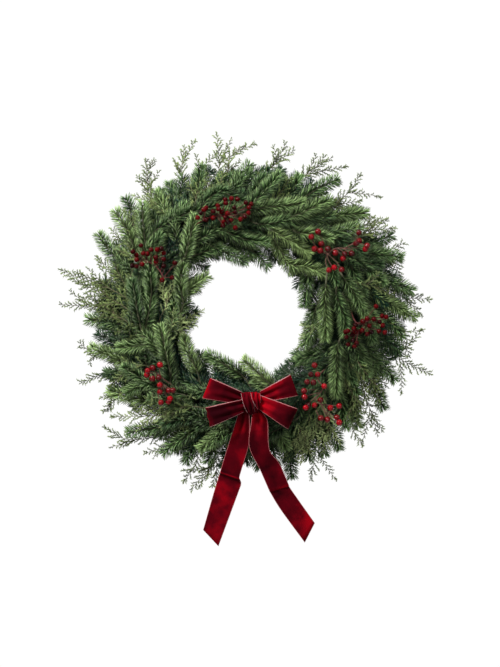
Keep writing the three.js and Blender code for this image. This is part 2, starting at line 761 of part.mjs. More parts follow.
// ---- juniper ----
// A spray that stays outside the ring is bound along its outer side, one that reaches in along its inner.
function planJuniper(outerTaken, innerTaken) {
  return JUNIPER_SPRAYS.map(({ way, twigs }, i) => {
    const inward = Math.hypot(way[0][0], way[0][1]) < RING_RADIUS;
    const slot = freeSlot(way[0], inward ? innerTaken : outerTaken);
    const name = `juniper_spray_${String(i + 1).padStart(2, "0")}`;
    const beside = RING_WIRE + GAP + JUNIPER_BUTT;
    const stem = butt(slot, JUNIPER_BUTT, inward ? -beside : beside, 0);
    occupyPoints(stem.points, stem.radii, { node: name, stem: name });
    const seed = 100 + 10 * i;
    return { name, finish: "juniper", needle: JUNIPER, parts: [stem.solid], stem, way, twigs, seed };
  });
}

const flatDistance = (p, x, z) => Math.hypot(p.x - x, p.z - z);

// Where along a spray's stem its needles start: half way between the first two points of its way.
function greenFrom(main, [seen, further]) {
  const x = (seen[0] + further[0]) / 2;
  const z = (seen[1] + further[1]) / 2;
  const step = main.points.reduce((near, p, i) => {
    return flatDistance(p, x, z) < flatDistance(main.points[near], x, z) ? i : near;
  }, 1);
  return (step * main.curve.getLength()) / (main.points.length - 1);
}

const TWIG_KNEE = 0.4; // where along a side twig it bends
const TWIG_SWING = 5; // how far that bend is carried along the stem
const TWIG_SHIFT = 0.6; // share of a shift that its tip takes

function layJuniper(spray) {
  const radius = taper(JUNIPER.stem, JUNIPER.end);
  const own = (k) => ({ node: spray.name, stem: `${spray.name}/${k}` });
  const shifted = (shift) => spray.way.map(([x, z, front]) => vector(x, -(front + shift), z));
  const stemCurve = (shift) => new THREE.CatmullRomCurve3([spray.stem.start, ...shifted(shift)]);
  const main = settled(stemCurve, radius, own(0));
  const from = greenFrom(main, spray.way);
  spray.curves = [{ ...main, radius, own: own(0), seed: spray.seed, from, front: 0 }];
  spray.twigs.forEach(([x0, z0, x1, z1], k) => {
    const nearer = (p, q) => (flatDistance(q, x0, z0) < flatDistance(p, x0, z0) ? q : p);
    const root = main.points.reduce(nearer);
    const along = lastOf(main.points).clone().sub(main.points[0]).normalize();
    const thin = taper(TWIG_STEM, JUNIPER.end);
    const twigCurve = (shift) => {
      const tip = vector(x1, root.y + shift * TWIG_SHIFT, z1);
      const knee = root.clone().lerp(tip, TWIG_KNEE).addScaledVector(along, TWIG_SWING);
      return new THREE.QuadraticBezierCurve3(root, knee, tip);
    };
    const twig = settled(twigCurve, thin, own(k + 1));
    const seed = spray.seed + k + 1;
    spray.curves.push({ ...twig, radius: thin, own: own(k + 1), seed, from: TWIG_BARE, front: 0 });
  });
}

// ---- berries ----
const BALL = new THREE.IcosahedronGeometry(1, 0);
BALL.deleteAttribute("normal");
BALL.deleteAttribute("uv");
const ball = mergeVertices(BALL, 1e-4);
const ballCorner = (i) => new THREE.Vector3().fromBufferAttribute(ball.attributes.position, i);

// Draws one face of a twig out into a berry's thin stem, and the stem out into the berry: a twenty-sided
// ball, turned so that the face it lacks looks back along the stem.
function growBerry(skin, face, middle, size) {
  const [p, q, r] = ball.index.array;
  const flat = ballCorner(p).add(ballCorner(q)).add(ballCorner(r)).divideScalar(3);
  const foot = middleOf(skin, face);
  const back = foot.clone().sub(middle).normalize();
  const turned = new THREE.Quaternion().setFromUnitVectors(flat.clone().normalize(), back);
  const placed = (v) => v.multiplyScalar(size).applyQuaternion(turned).add(middle);
  const first = skin.corners.length / 3;
  for (let i = 0; i < ball.attributes.position.count; i++) skin.corner(placed(ballCorner(i)));
  const corners = Array.from(ball.index.array, (i) => first + i);
  for (let i = 3; i < corners.length; i += 3) skin.triangle(...corners.slice(i, i + 3));
  const neck = placed(flat.clone());
  const rim = [first + p, first + q, first + r];
  const throat = rim.map((i) => skin.corner(skin.point(i).sub(neck).setLength(BERRY_STEM).add(neck)));
  tube(skin, rim, throat);
  // The face runs round one way and the throat, seen from it, the other, so it is met in reverse order and
  // from the corner that twists the stem least.
  const reversed = [throat[0], throat[2], throat[1]];
  const twist = (k) =>
    face.reduce((sum, corner, j) => {
      const from = skin.point(corner).sub(foot).normalize();
      return sum + from.dot(skin.point(reversed[(j + k) % 3]).sub(neck).normalize());
    }, 0);
  const best = [0, 1, 2].reduce((most, k) => (twist(k) > twist(most) ? k : most));
  tube(skin, face, [0, 1, 2].map((j) => reversed[(j + best) % 3]));
}

const middleOf = (skin, corners) =>
  corners.reduce((sum, i) => sum.add(skin.point(i)), vector(0, 0, 0)).divideScalar(corners.length);

// Joins one row of corners to the next with a band of triangles.
function tube(skin, row, next) {
  row.forEach((_, j) => {
    const k = (j + 1) % row.length;
    skin.triangle(row[j], row[k], next[k]);
    skin.triangle(row[j], next[k], next[j]);
  });
}

const BERRY_STEPS = [0, -3, 3, -6, 6, -9, -12]; // depths tried for a berry, from the one it is given
const LEAST_FACING = 0.1; // cosine of the widest angle at which a stem may leave its face
const LEAST_REACH = 1.3; // shortest way from a face to a berry, in radii of the berry
const FACING_WORTH = 1.6;
const CROWDED = 500; // the cost of a place that isn't clear

// The face of the twig and the depth for a berry at which it and its stem are clear of their neighbours.
function seatBerry(skin, faces, [x, z], depth, size, own) {
  let best = null;
  for (const step of BERRY_STEPS) {
    const middle = vector(x, -(depth + step), z);
    const round = leastGap({ a: middle, b: middle, ra: size, rb: size }, () => false);
    if (best && Math.min(round, GAP) < best.gap) continue;
    for (const face of faces) {
      const foot = middleOf(skin, face);
      const way = middle.clone().sub(foot);
      const facing = faceNormal(skin, face).dot(way.clone().normalize());
      if (facing < LEAST_FACING || way.length() < size * LEAST_REACH) continue;
      const rod = { a: foot.addScaledVector(way, ROOT_SHARE), b: middle, ra: BERRY_STEM, rb: BERRY_STEM };
      const gap = Math.min(round, leastGap(rod, (other) => other.stem === own.stem));
      const cost = way.length() * (FACING_WORTH - facing) + (gap < GAP ? CROWDED - gap : 0);
      if (!best || cost < best.cost) best = { cost, gap, middle, face, rod };
    }
    if (best && best.gap >= GAP) return best;
  }
  return best;
}

function faceNormal(skin, [a, b, c]) {
  const ab = skin.point(b).sub(skin.point(a));
  return ab.cross(skin.point(c).sub(skin.point(a))).normalize();
}

const RISE_STEPS = 4; // runs of a cluster's stem from the ring up to its first fork
const RISE_BEND = vector(0.6, 0.8, 0.4); // the way in which that stem is bent aside to find room

// The points of a cluster's stem, from the ring up to its first fork and on through the others.
function clusterStem(start, forks, own) {
  const riseCurve = (shift) => {
    const knee = start.clone().lerp(forks[0], 0.5).addScaledVector(RISE_BEND, shift);
    return new THREE.QuadraticBezierCurve3(start, knee, forks[0]);
  };
  const rise = settled(riseCurve, taper(FORK_STEM, FORK_STEM), own);
  const route = new THREE.CatmullRomCurve3(forks);
  const steps = Math.round(route.getLength() / FORK_STEP);
  return [...rise.curve.getSpacedPoints(RISE_STEPS).slice(0, -1), ...route.getSpacedPoints(steps)];
}

// The skin of that stem. The faces past its first fork, and the one at its end, stay open for berries.
function forkedSkin(points) {
  const skin = new Skin();
  const rows = stemRows(points, steadyRadius(points, FORK_STEM), SIDES);
  const made = rows.map((row) => row.map((p) => skin.corner(p)));
  skin.triangle(made[0][0], made[0][2], made[0][1]);
  const faces = [lastOf(made)];
  for (let i = 0; i + 1 < made.length; i++)
    for (let j = 0; j < SIDES; j++) {
      const k = (j + 1) % SIDES;
      const pair = [
        [made[i][j], made[i][k], made[i + 1][k]],
        [made[i][j], made[i + 1][k], made[i + 1][j]],
      ];
      if (i < RISE_STEPS) pair.forEach((face) => skin.triangle(...face));
      else faces.push(...pair);
    }
  return { skin, faces };
}

function berryCluster(name, cluster, taken) {
  const size = cluster.kind === "small_berries" ? SMALL_BERRY : LARGE_BERRY;
  const own = { node: name, stem: `${name}/twig` };
  const forks = cluster.forks.map(([x, z]) => vector(x, -(cluster.front - FORK_BACK), z));
  const stem = butt(freeSlot(cluster.forks[0], taken), BERRY_BUTT, -(RING_WIRE + GAP + BERRY_BUTT), 0);
  occupyPoints(stem.points, stem.radii, own);
  const points = clusterStem(stem.start, forks, own);
  occupyPoints(points, steadyRadius(points, FORK_STEM), own);
  const { skin, faces } = forkedSkin(points);
  cluster.berries.forEach((place, i) => {
    const depth = cluster.front - BERRY_SPREAD * draw(place[0] + 3 * place[1] + i);
    const { middle, face, rod } = seatBerry(skin, faces, place, depth, size, own);
    faces.splice(faces.indexOf(face), 1);
    occupy({ ...rod, node: name, stem: `${name}/${i}` });
    occupy({ a: middle, b: middle, ra: size, rb: size, node: name, stem: `${name}/${i}` });
    growBerry(skin, face, middle, size);
  });
  faces.forEach((face) => skin.triangle(...face));
  return node(name, cluster.kind, joined([stem.solid, skin.solid()]));
}

// ---- the wreath ----
// The order is the order in which the pieces claim their room.
wreath.add(ring(), bindingWire(), bowWire());
wreath.add(bowKnot());
for (const [side, shape] of Object.entries(LOOPS)) wreath.add(bowLoop(`bow_loop_${side}`, shape));
for (const [side, stations] of Object.entries(TAILS)) wreath.add(bowTail(`bow_tail_${side}`, stations));

const fir = planFir();
const innerSlots = new Set();
const juniper = planJuniper(new Set(), innerSlots);
juniper.forEach(layJuniper);
for (const [place, cluster] of Object.entries(BERRY_CLUSTERS))
  wreath.add(berryCluster(`berries_${place}`, cluster, innerSlots));

// The needles of the sprigs in front grow first, so that they have the room they need.
const green = [...fir, ...juniper];
const sprigs = green.flatMap((bunch) => bunch.curves.map((sprig) => ({ bunch, ...sprig })));
sprigs.sort((a, b) => b.front - a.front);
for (const { bunch, curve, radius, from, own, seed } of sprigs)
  bunch.parts.push(needledStem(curve, radius, from, bunch.needle, own, seed));
for (const { name, finish, parts } of green) wreath.add(node(name, finish, joined(parts)));

wreath.position.z = -(RING_RADIUS - RING_WIRE);
const hung = new THREE.Group();
hung.add(wreath);
export default hung;
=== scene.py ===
# %% [markdown]
# # A fresh evergreen wreath in Blender
#
# The wreath hangs on the wire ring inside it. Bunches of fir and sprays of juniper lie clockwise round the
# ring, bound on with one long wire, and over them sit two kinds of red berries and a bow of velvet ribbon.
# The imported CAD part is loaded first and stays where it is. Every piece below takes the place of one of its
# solids, or fills in between them. Places are given in millimetres from the middle of the ring, as in the
# part's own source, and `at` turns them into metres in the shared frame.

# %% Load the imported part
import math

import bpy
import numpy as np
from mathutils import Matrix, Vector


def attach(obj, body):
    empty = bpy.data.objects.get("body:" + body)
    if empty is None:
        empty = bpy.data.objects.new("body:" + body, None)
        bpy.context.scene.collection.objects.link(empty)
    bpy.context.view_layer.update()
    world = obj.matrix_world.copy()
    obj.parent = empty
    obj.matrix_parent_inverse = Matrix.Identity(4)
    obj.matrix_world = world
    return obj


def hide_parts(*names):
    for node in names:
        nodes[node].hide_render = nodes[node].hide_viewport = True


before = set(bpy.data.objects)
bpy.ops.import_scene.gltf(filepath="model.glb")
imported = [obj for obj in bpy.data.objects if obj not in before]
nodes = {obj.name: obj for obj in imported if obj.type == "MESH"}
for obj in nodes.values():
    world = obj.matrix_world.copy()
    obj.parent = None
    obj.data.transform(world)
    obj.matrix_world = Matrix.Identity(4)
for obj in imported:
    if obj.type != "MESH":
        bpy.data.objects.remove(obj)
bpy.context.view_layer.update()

# %% [markdown]
# ## Small tools
#
# A wreath is a few shapes repeated thousands of times, so most of the work is placing copies. `Shape` holds
# the corners and faces of a mesh that was modelled once, and `Growth` collects copies of it and turns them
# into one mesh. Blender can also do this with instances or a hair system. Real copies are used here because
# each one then has its own corners, its own tone, and can be exported.

# %% Places, and numbers that look drawn by chance

RING = 200  # radius of the wire ring in millimetres
DROP = 0.198  # metres from the hook down to the middle of the ring


def at(x, z, front=0.0):
    """A point in metres from millimetres beside the middle of the ring, front counted towards the viewer."""
    return np.array([x / 1000, -front / 1000, z / 1000 - DROP])


def unit(v):
    return v / np.maximum(np.linalg.norm(v, axis=-1, keepdims=True), 1e-9)


def chance(n):
    """The part's own chance number from 0 to 1, so that a sprig bends here as its solid does."""
    return math.sin(n * 12.9898) * 43758.5453 % 1


# %% Objects, and a start with nothing selected


def linked(name, data):
    made = bpy.data.objects.new(name, data)
    bpy.context.collection.objects.link(made)
    return made


def fresh(name):
    """Names the object that an operator has just made."""
    made = bpy.context.object
    made.name = made.data.name = name
    return made


def clear_selection():
    if bpy.context.object and bpy.context.object.mode != "OBJECT":
        bpy.ops.object.mode_set(mode="OBJECT")
    bpy.ops.object.select_all(action="DESELECT")


def pick(*objects):
    clear_selection()
    for o in objects:
        o.select_set(True)
    bpy.context.view_layer.objects.active = objects[0]


def joined(name, *objects):
    pick(*objects)
    bpy.ops.object.join()
    return fresh(name)


# %% Shapes that are modelled once and copied


def corners_of(mesh):
    corners = np.empty(len(mesh.vertices) * 3)
    mesh.vertices.foreach_get("co", corners)
    return corners.reshape(-1, 3)


class Shape:
    """The corners and faces of a modelled object, taken out of the scene so that it can be copied."""

    def __init__(self, obj):
        mesh = obj.data
        self.corners = corners_of(mesh)
        self.loops = np.empty(len(mesh.loops), dtype=np.int32)
        mesh.loops.foreach_get("vertex_index", self.loops)
        self.sizes = np.array([p.loop_total for p in mesh.polygons], dtype=np.int32)
        self.along = self.corners[:, 2] / self.corners[:, 2].max()
        bpy.data.objects.remove(obj)


class Growth:
    """Collects copies of shapes and turns them into one mesh."""

    def __init__(self):
        self.parts = []
        self.total = 0

    def add(self, shape, origins, x, z, scale, tone, sprig):
        """Puts the shape at each origin, its own x and z axes along the directions x and z."""
        count, each = len(origins), len(shape.corners)
        axes = np.stack([x, np.cross(z, x), z], axis=1) * np.broadcast_to(scale, (count, 3))[:, :, None]
        corners = np.einsum("ck,nkj->ncj", shape.corners, axes) + origins[:, None, :]
        loops = self.total + shape.loops[None, :] + each * np.arange(count)[:, None]
        growth = np.empty((count, each, 3))
        growth[:, :, 0] = shape.along
        growth[:, :, 1] = np.broadcast_to(tone, count)[:, None]
        growth[:, :, 2] = sprig
        sizes = np.tile(shape.sizes, count)
        self.parts.append((corners.reshape(-1, 3), loops.ravel(), sizes, growth.reshape(-1, 3)))
        self.total += count * each

    def object(self, name, material):
        """One mesh. Its `growth` is red: place along the shape, green: own tone, blue: tone of its sprig."""
        corners, loops, sizes, growth = (np.concatenate(part) for part in zip(*self.parts))
        mesh = bpy.data.meshes.new(name)
        mesh.vertices.add(len(corners))
        mesh.vertices.foreach_set("co", corners.ravel())
        mesh.loops.add(len(loops))
        mesh.loops.foreach_set("vertex_index", loops.astype(np.int32))
        mesh.polygons.add(len(sizes))
        mesh.polygons.foreach_set("loop_start", (np.cumsum(sizes) - sizes).astype(np.int32))
        mesh.update(calc_edges=True)
        mesh.shade_smooth()
        layer = mesh.attributes.new("growth", "FLOAT_COLOR", "POINT")
        layer.data.foreach_set("color", np.hstack([growth, np.ones((len(growth), 1))]).ravel())
        mesh.materials.append(material)
        return linked(name, mesh)


# %% Lines through space


def bezier(a, b, c, steps=14):
    t = np.linspace(0, 1, steps + 1)[:, None]
    return (1 - t) ** 2 * a + 2 * t * (1 - t) * b + t * t * c


def smooth_line(points, steps=8):
    """A line that passes through every point given, rounded between them."""
    ends = [2 * points[0] - points[1], *points, 2 * points[-1] - points[-2]]
    t = np.linspace(0, 1, steps, endpoint=False)[:, None]
    line = []
    for p, q, r, s in zip(ends, ends[1:], ends[2:], ends[3:]):
        squares = 2 * p - 5 * q + 4 * r - s
        cubes = 3 * q - p - 3 * r + s
        line.append(0.5 * (2 * q + (r - p) * t + squares * t**2 + cubes * t**3))
    return np.concatenate([*line, [points[-1]]])


def length_of(line):
    return float(np.linalg.norm(np.diff(line, axis=0), axis=1).sum())


def walk(line, distances):
    """Points and directions at the given distances along a line."""
    run = np.concatenate([[0], np.cumsum(np.linalg.norm(np.diff(line, axis=0), axis=1))])

    def read(values):
        return np.stack([np.interp(distances, run, column) for column in values.T], axis=1)

    return read(line), unit(read(unit(np.gradient(line, axis=0))))


# %% Stems, and from stems and copies to a finished piece


def tapered(line, thick, thin):
    """A line with the radii of a stem that thins towards its end."""
    return line, np.linspace(thick, thin, len(line))


def stems(name, lines, material, sides=1):
    """Round stems along the lines, each with its radii: one curve object with a bevel, made into a mesh."""
    curve = bpy.data.curves.new(name, "CURVE")
    curve.dimensions = "3D"
    curve.bevel_depth = 1.0
    curve.bevel_resolution = sides
    curve.use_fill_caps = True
    for line, radii in lines:
        spline = curve.splines.new("POLY")
        spline.points.add(len(line) - 1)
        spline.points.foreach_set("co", np.hstack([line, np.ones((len(line), 1))]).ravel())
        spline.points.foreach_set("radius", np.broadcast_to(radii, len(line)).astype(float))
    pick(linked(name, curve))
    bpy.ops.object.convert(target="MESH")
    made = bpy.context.object
    made.data.materials.clear()
    made.data.materials.append(material)
    made.data.shade_smooth()
    return made


def declare(piece, node=None):
    """Tells the frame what the piece rides on, which solid it takes the place of."""
    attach(piece, "root")
    if node:
        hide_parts(node)


def grown(name, copies, lines, bark, node=None):
    """One piece from pairs of a Growth and its material, and from the stems that carry them."""
    wood = stems(name + "_wood", lines, bark)
    piece = joined(name, *[growth.object(name + "_copies", material) for growth, material in copies], wood)
    declare(piece, node)
    return piece


def depth_at(node, x, z, reach, otherwise):
    """How far in front of the ring the node's solid lies at x, z: it says where that sprig has found room."""
    corners = corners_of(nodes[node].data)
    near = np.hypot(*(corners[:, (0, 2)] - at(x, z)[[0, 2]]).T) < reach / 1000
    return -1000 * float(np.median(corners[near, 1])) if near.any() else otherwise


# %% [markdown]
# ## Materials
#
# Everything is coloured by nodes. Needles and leaves read the `growth` attribute that the copies carry: how
# far along the needle a point is, the needle's own tone and the tone of its whole sprig. That gives pale
# tips, dark feet in painted shade, and no two sprigs of the same green. The tones also carry painted light
# and painted shade: lighter where needles and sprigs face or stand in front, darker where they lie behind.

# %% A short way to build a material


class Finish:
    """A material with one shader, whose sockets are named when it is made, and nodes that lead to it."""

    def __init__(self, name, **sockets):
        self.material = bpy.data.materials.new(name)
        self.material.use_nodes = True
        self.tree = self.material.node_tree
        self.shader = self.tree.nodes["Principled BSDF"]
        for socket, value in sockets.items():
            self.shader.inputs[socket.replace("_", " ")].default_value = value

    def node(self, kind, inputs=(), **settings):
        made = self.tree.nodes.new(kind)
        for key, value in settings.items():
            setattr(made, key, value)
        for socket, value in dict(inputs).items():
            if isinstance(value, bpy.types.NodeSocket):
                self.tree.links.new(value, made.inputs[socket])
            else:
                made.inputs[socket].default_value = value
        return made

    def ramp(self, value, *stops):
        made = self.node("ShaderNodeValToRGB", {"Fac": value})
        while len(made.color_ramp.elements) < len(stops):
            made.color_ramp.elements.new(0.5)
        for element, (place, color) in zip(made.color_ramp.elements, stops):
            element.position = place
            element.color = (*color, 1)
        return made.outputs["Color"]

    def mix(self, factor, a, b, blend="MIX"):
        colors = {k: (*c, 1) if isinstance(c, tuple) else c for k, c in ((6, a), (7, b))}
        made = self.node("ShaderNodeMix", {0: factor, **colors}, data_type="RGBA", blend_type=blend)
        return made.outputs[2]

    def math(self, operation, a, b=0.0, clamp=False):
        return self.node("ShaderNodeMath", {0: a, 1: b}, operation=operation, use_clamp=clamp).outputs[0]

    def past(self, value, start, gain, clamp=False):
        """How far the value is past the start, times the gain."""
        return self.math("MULTIPLY", self.math("SUBTRACT", value, start), gain, clamp)

    def shaded(self, color, brightness):
        grey = self.node("ShaderNodeCombineColor", {part: brightness for part in ("Red", "Green", "Blue")})
        return self.mix(1.0, color, grey.outputs["Color"], "MULTIPLY")

    def growth(self):
        read = self.node("ShaderNodeAttribute", attribute_name="growth")
        parts = self.node("ShaderNodeSeparateColor", {"Color": read.outputs["Color"]})
        return parts.outputs[:3]

    def place(self):
        return self.node("ShaderNodeTexCoord").outputs["Object"]

    def noise(self, scale, detail):
        made = self.node("ShaderNodeTexNoise", {"Vector": self.place(), "Scale": scale, "Detail": detail})
        return made.outputs["Fac"]

    def color(self, socket):
        self.tree.links.new(socket, self.shader.inputs["Base Color"])

    def bump(self, height, strength, distance=0.0004):
        made = self.node("ShaderNodeBump", {"Height": height, "Strength": strength, "Distance": distance})
        self.tree.links.new(made.outputs["Normal"], self.shader.inputs["Normal"])


# %% Fir needles and juniper leaves


def leaf_material(name, foot, middle, tip, pale_and_lit, deep_and_shaded, back, roughness):
    """foot, middle and tip are the greens along a needle, the dark foot painted shade near the stem; the next
    two greens are the ends of the sprigs' tones, which mix painted light and shade with differences by
    chance.
    """
    finish = Finish(name, Roughness=roughness, Specular_IOR_Level=0.25)
    along, tone, sprig = finish.growth()
    # Painted shade at the foot of each needle; the sprig's tone adds painted light in front and painted shade
    # behind, the needle's tone painted highlights.
    green = finish.ramp(along, (0.0, foot), (0.45, middle), (1.0, tip))
    green = finish.mix(finish.past(sprig, 0.5, 2.0, True), green, pale_and_lit)
    green = finish.mix(finish.past(0.5, sprig, 2.0, True), green, deep_and_shaded)
    green = finish.shaded(green, finish.math("ADD", finish.math("MULTIPLY", tone, 2.5), 0.14))
    facing = finish.node("ShaderNodeSeparateXYZ", {0: finish.node("ShaderNodeNewGeometry").outputs["Normal"]})
    finish.color(finish.mix(finish.past(facing.outputs["Y"], 0.3, 1.6, True), green, back))
    return finish.material


fir_green = leaf_material(
    "fir_needles", foot=(0.01, 0.022, 0.006), middle=(0.055, 0.105, 0.034), tip=(0.15, 0.21, 0.085),
    pale_and_lit=(0.21, 0.29, 0.10), deep_and_shaded=(0.006, 0.022, 0.012), back=(0.06, 0.10, 0.06), roughness=0.36,
)
juniper_green = leaf_material(
    "juniper_leaves", foot=(0.025, 0.036, 0.01), middle=(0.075, 0.105, 0.03), tip=(0.15, 0.19, 0.065),
    pale_and_lit=(0.20, 0.25, 0.10), deep_and_shaded=(0.01, 0.016, 0.006), back=(0.08, 0.11, 0.045), roughness=0.5,
)
print("greens:", fir_green.name, juniper_green.name)

# %% Bark and wires


def bark_material(name, dark, light):
    finish = Finish(name, Roughness=0.75)
    grain = finish.noise(900, 4.0)
    finish.color(finish.ramp(grain, (0.35, dark), (0.7, light)))
    finish.bump(grain, 0.5)
    return finish.material


fir_bark = bark_material("fir_bark", (0.025, 0.024, 0.01), (0.08, 0.085, 0.035))
juniper_bark = bark_material("juniper_bark", (0.045, 0.036, 0.016), (0.14, 0.125, 0.055))
red_stem = bark_material("red_berry_stems", (0.05, 0.006, 0.006), (0.14, 0.02, 0.015))
brown_stem = bark_material("brown_berry_stems", (0.07, 0.026, 0.019), (0.23, 0.1, 0.07))
ring_green = Finish("ring enamel", Base_Color=(0.045, 0.07, 0.045, 1), Metallic=0.3, Roughness=0.42).material
wire_green = Finish("lacquered wire", Base_Color=(0.02, 0.06, 0.03, 1), Metallic=0.5, Roughness=0.35).material
print(len(bpy.data.materials), "materials")

# %% Berry skins


def berry_material(name, low, high, roughness, coat, mottle):
    """low and high are the reds of the darkest and the brightest berry, mottle how much dark patches show."""
    finish = Finish(name, Roughness=roughness, Coat_Weight=coat, Coat_Roughness=0.05, Specular_IOR_Level=0.04)
    skin = finish.mix(finish.growth()[1], low, high)
    spots = finish.math("ABSOLUTE", finish.past(finish.noise(420, 4.0), 0.5, mottle))
    finish.color(finish.shaded(skin, finish.math("SUBTRACT", 1.0, spots, True)))
    finish.bump(finish.noise(650, 2.0), 0.15)
    return finish.material


matt_berry = berry_material(
    "matt_berry_skin", low=(0.007, 0.0004, 0.0006), high=(0.1, 0.001, 0.002),
    roughness=0.36, coat=0.06, mottle=2.0,
)
glossy_berry = berry_material(
    "glossy_berry_skin", low=(0.035, 0.0003, 0.001), high=(0.26, 0.0006, 0.005),
    roughness=0.4, coat=0.4, mottle=0.6,
)
calyx_dark = Finish("calyx", Base_Color=(0.02, 0.008, 0.006, 1), Roughness=0.8).material
print("berries:", matt_berry.name, glossy_berry.name)

# %% [markdown]
# ## The fir needle
#
# A fir needle is flat, blunt and about 19 mm long, with a keel beneath. It starts as a cone of three sides.
# A bisect adds an edge loop, and that loop and the foot are scaled so that the sides run parallel before
# they close to the tip. It could as well be a flat strip, but a closed needle looks right from both faces
# and costs only ten triangles.

# %% Model one needle, a unit long and a unit wide

CLOSE = 1e-4  # how near a corner has to be to a height to count as lying in it


def select_where(obj, test):
    """Selects the corners for which test is true, in edit mode."""
    bpy.ops.object.mode_set(mode="EDIT")
    bpy.ops.mesh.select_mode(type="VERT")
    bpy.ops.mesh.select_all(action="DESELECT")
    bpy.ops.object.mode_set(mode="OBJECT")
    for v in obj.data.vertices:
        v.select = bool(test(v.co))
    bpy.ops.object.mode_set(mode="EDIT")


def model_needle(name, shoulder, foot, curl):
    """shoulder is the height of the added loop, foot the share of the width there, curl how far it bows."""
    clear_selection()
    bpy.ops.mesh.primitive_cone_add(vertices=3, radius1=0.5, radius2=0, depth=1, location=(0, 0, 0.5))
    made = fresh(name)
    bpy.ops.object.transform_apply(location=True)
    bpy.ops.object.mode_set(mode="EDIT")
    bpy.ops.mesh.select_all(action="SELECT")
    bpy.ops.mesh.bisect(plane_co=(0, 0, shoulder), plane_no=(0, 0, 1))
    wide = 0.95 / (1 - shoulder)
    select_where(made, lambda co: abs(co.z - shoulder) < CLOSE)
    bpy.ops.transform.resize(value=(wide, wide, 1))
    bpy.ops.transform.translate(value=(0, curl, 0))
    select_where(made, lambda co: co.z < CLOSE)
    bpy.ops.transform.resize(value=(foot, foot, 1))
    bpy.ops.object.mode_set(mode="OBJECT")
    return Shape(made)


needle = model_needle("fir_needle", 0.6, 0.7, -0.12)
leaf = model_needle("juniper_leaf", 0.45, 0.9, -0.15)
print("needle:", len(needle.corners), "corners,", len(needle.sizes), "faces")

# %% [markdown]
# ## A sprig of fir
#
# On a living shoot the needles follow a spiral. They lean forward, more so near the tip, and the flat upper
# side of each turns to the light, which in a wreath is the side that faces the room. `brush` walks along a
# stem and works out those places. Few needles point straight back, where the sprig lies on the ones below.

# %% Needles along a stem

FRONT = np.array([0.0, -1.0, 0.0])
GOLDEN = 0.618034  # of a full turn lies between one needle and the next
TUFT = 16  # needles that close the tip
SPACING = 0.00042  # metres of stem to a needle, where sprigs are seen close
NEEDLE_LONG = 0.021
NEEDLE_WIDE = 0.0018
STEM_WIDE = 0.0021
FURTHEST = 118  # degrees from the front to the needles that point furthest back


def leaning(way, front, turn, lean):
    """For each point of a stem: its upper side, the side at that turn, and the way that leans out there."""
    side = unit(np.cross(way, front))
    up = np.cross(side, way)
    out = up * np.cos(turn)[:, None] + side * np.sin(turn)[:, None]
    return up, out, unit(way * np.cos(lean)[:, None] + out * np.sin(lean)[:, None])


def brush(growth, line, start, sprig, seed, spacing=SPACING):
    """Adds the needles of one sprig, from `start` metres along its line to its tip, and a tuft at the tip."""
    rng = np.random.default_rng(seed)
    whole = length_of(line)
    count = max(8, int((whole - start) / spacing)) + TUFT
    s = start + (np.arange(count) + rng.random(count)) * (whole - start) / (count - TUFT)
    s = np.minimum(s, whole - rng.random(count) * 0.0008)
    point, way = walk(line, s)
    # Round the stem in a spiral, closer together at its sides than in front.
    spin = (np.arange(count) * GOLDEN + rng.normal(0, 0.03, count)) % 1 * 2 - 1
    turn = rng.normal(0, 0.25) + np.sign(spin) * np.abs(spin) ** 0.62 * math.radians(FURTHEST)
    # Leaning away from the stem by so many degrees, fewer in front and at the tip.
    from_tip = np.clip((whole - s) / 0.026, 0, 1)
    lean = np.radians(46 + 13 * from_tip - 8 * np.cos(turn) + rng.normal(0, 2.2, count))
    lean[-TUFT:] = np.radians(rng.uniform(6, 50, TUFT))
    up, out, ahead = leaning(way, FRONT, turn, lean)
    face = unit(0.6 * up + 0.6 * out + rng.normal(0, 0.3, (count, 3)))
    face = unit(face - ahead * np.sum(face * ahead, axis=1, keepdims=True))
    # Shorter at both ends of the sprig, in the tuft and in front.
    from_start = np.clip((s - start) / 0.012, 0, 1)
    long = NEEDLE_LONG * (0.82 + 0.18 * from_tip) * (0.7 + 0.3 * from_start) * rng.uniform(0.88, 1.06, count)
    long *= (0.62 + 0.38 * np.clip(lean / 0.8, 0, 1)) * (0.84 + 0.18 * np.abs(np.sin(turn)))
    scale = np.stack(np.broadcast_arrays(NEEDLE_WIDE, NEEDLE_WIDE * 0.6, long), axis=1)
    # Painted light: lighter towards the tip of a sprig and on needles that face the front, with painted shade
    # towards its foot, and one needle in three gets a painted highlight.
    tipward = np.clip(1 - (whole - s) / 0.075, 0, 1)
    lit = np.where(rng.random(count) < 0.36, 0.34, -0.08)
    tone = np.clip(0.08 + 0.36 * tipward + 0.2 * np.cos(turn) + lit + rng.normal(0, 0.08, count), 0, 1)
    growth.add(needle, point + out * STEM_WIDE / 2, np.cross(ahead, face), ahead, scale, tone, sprig)
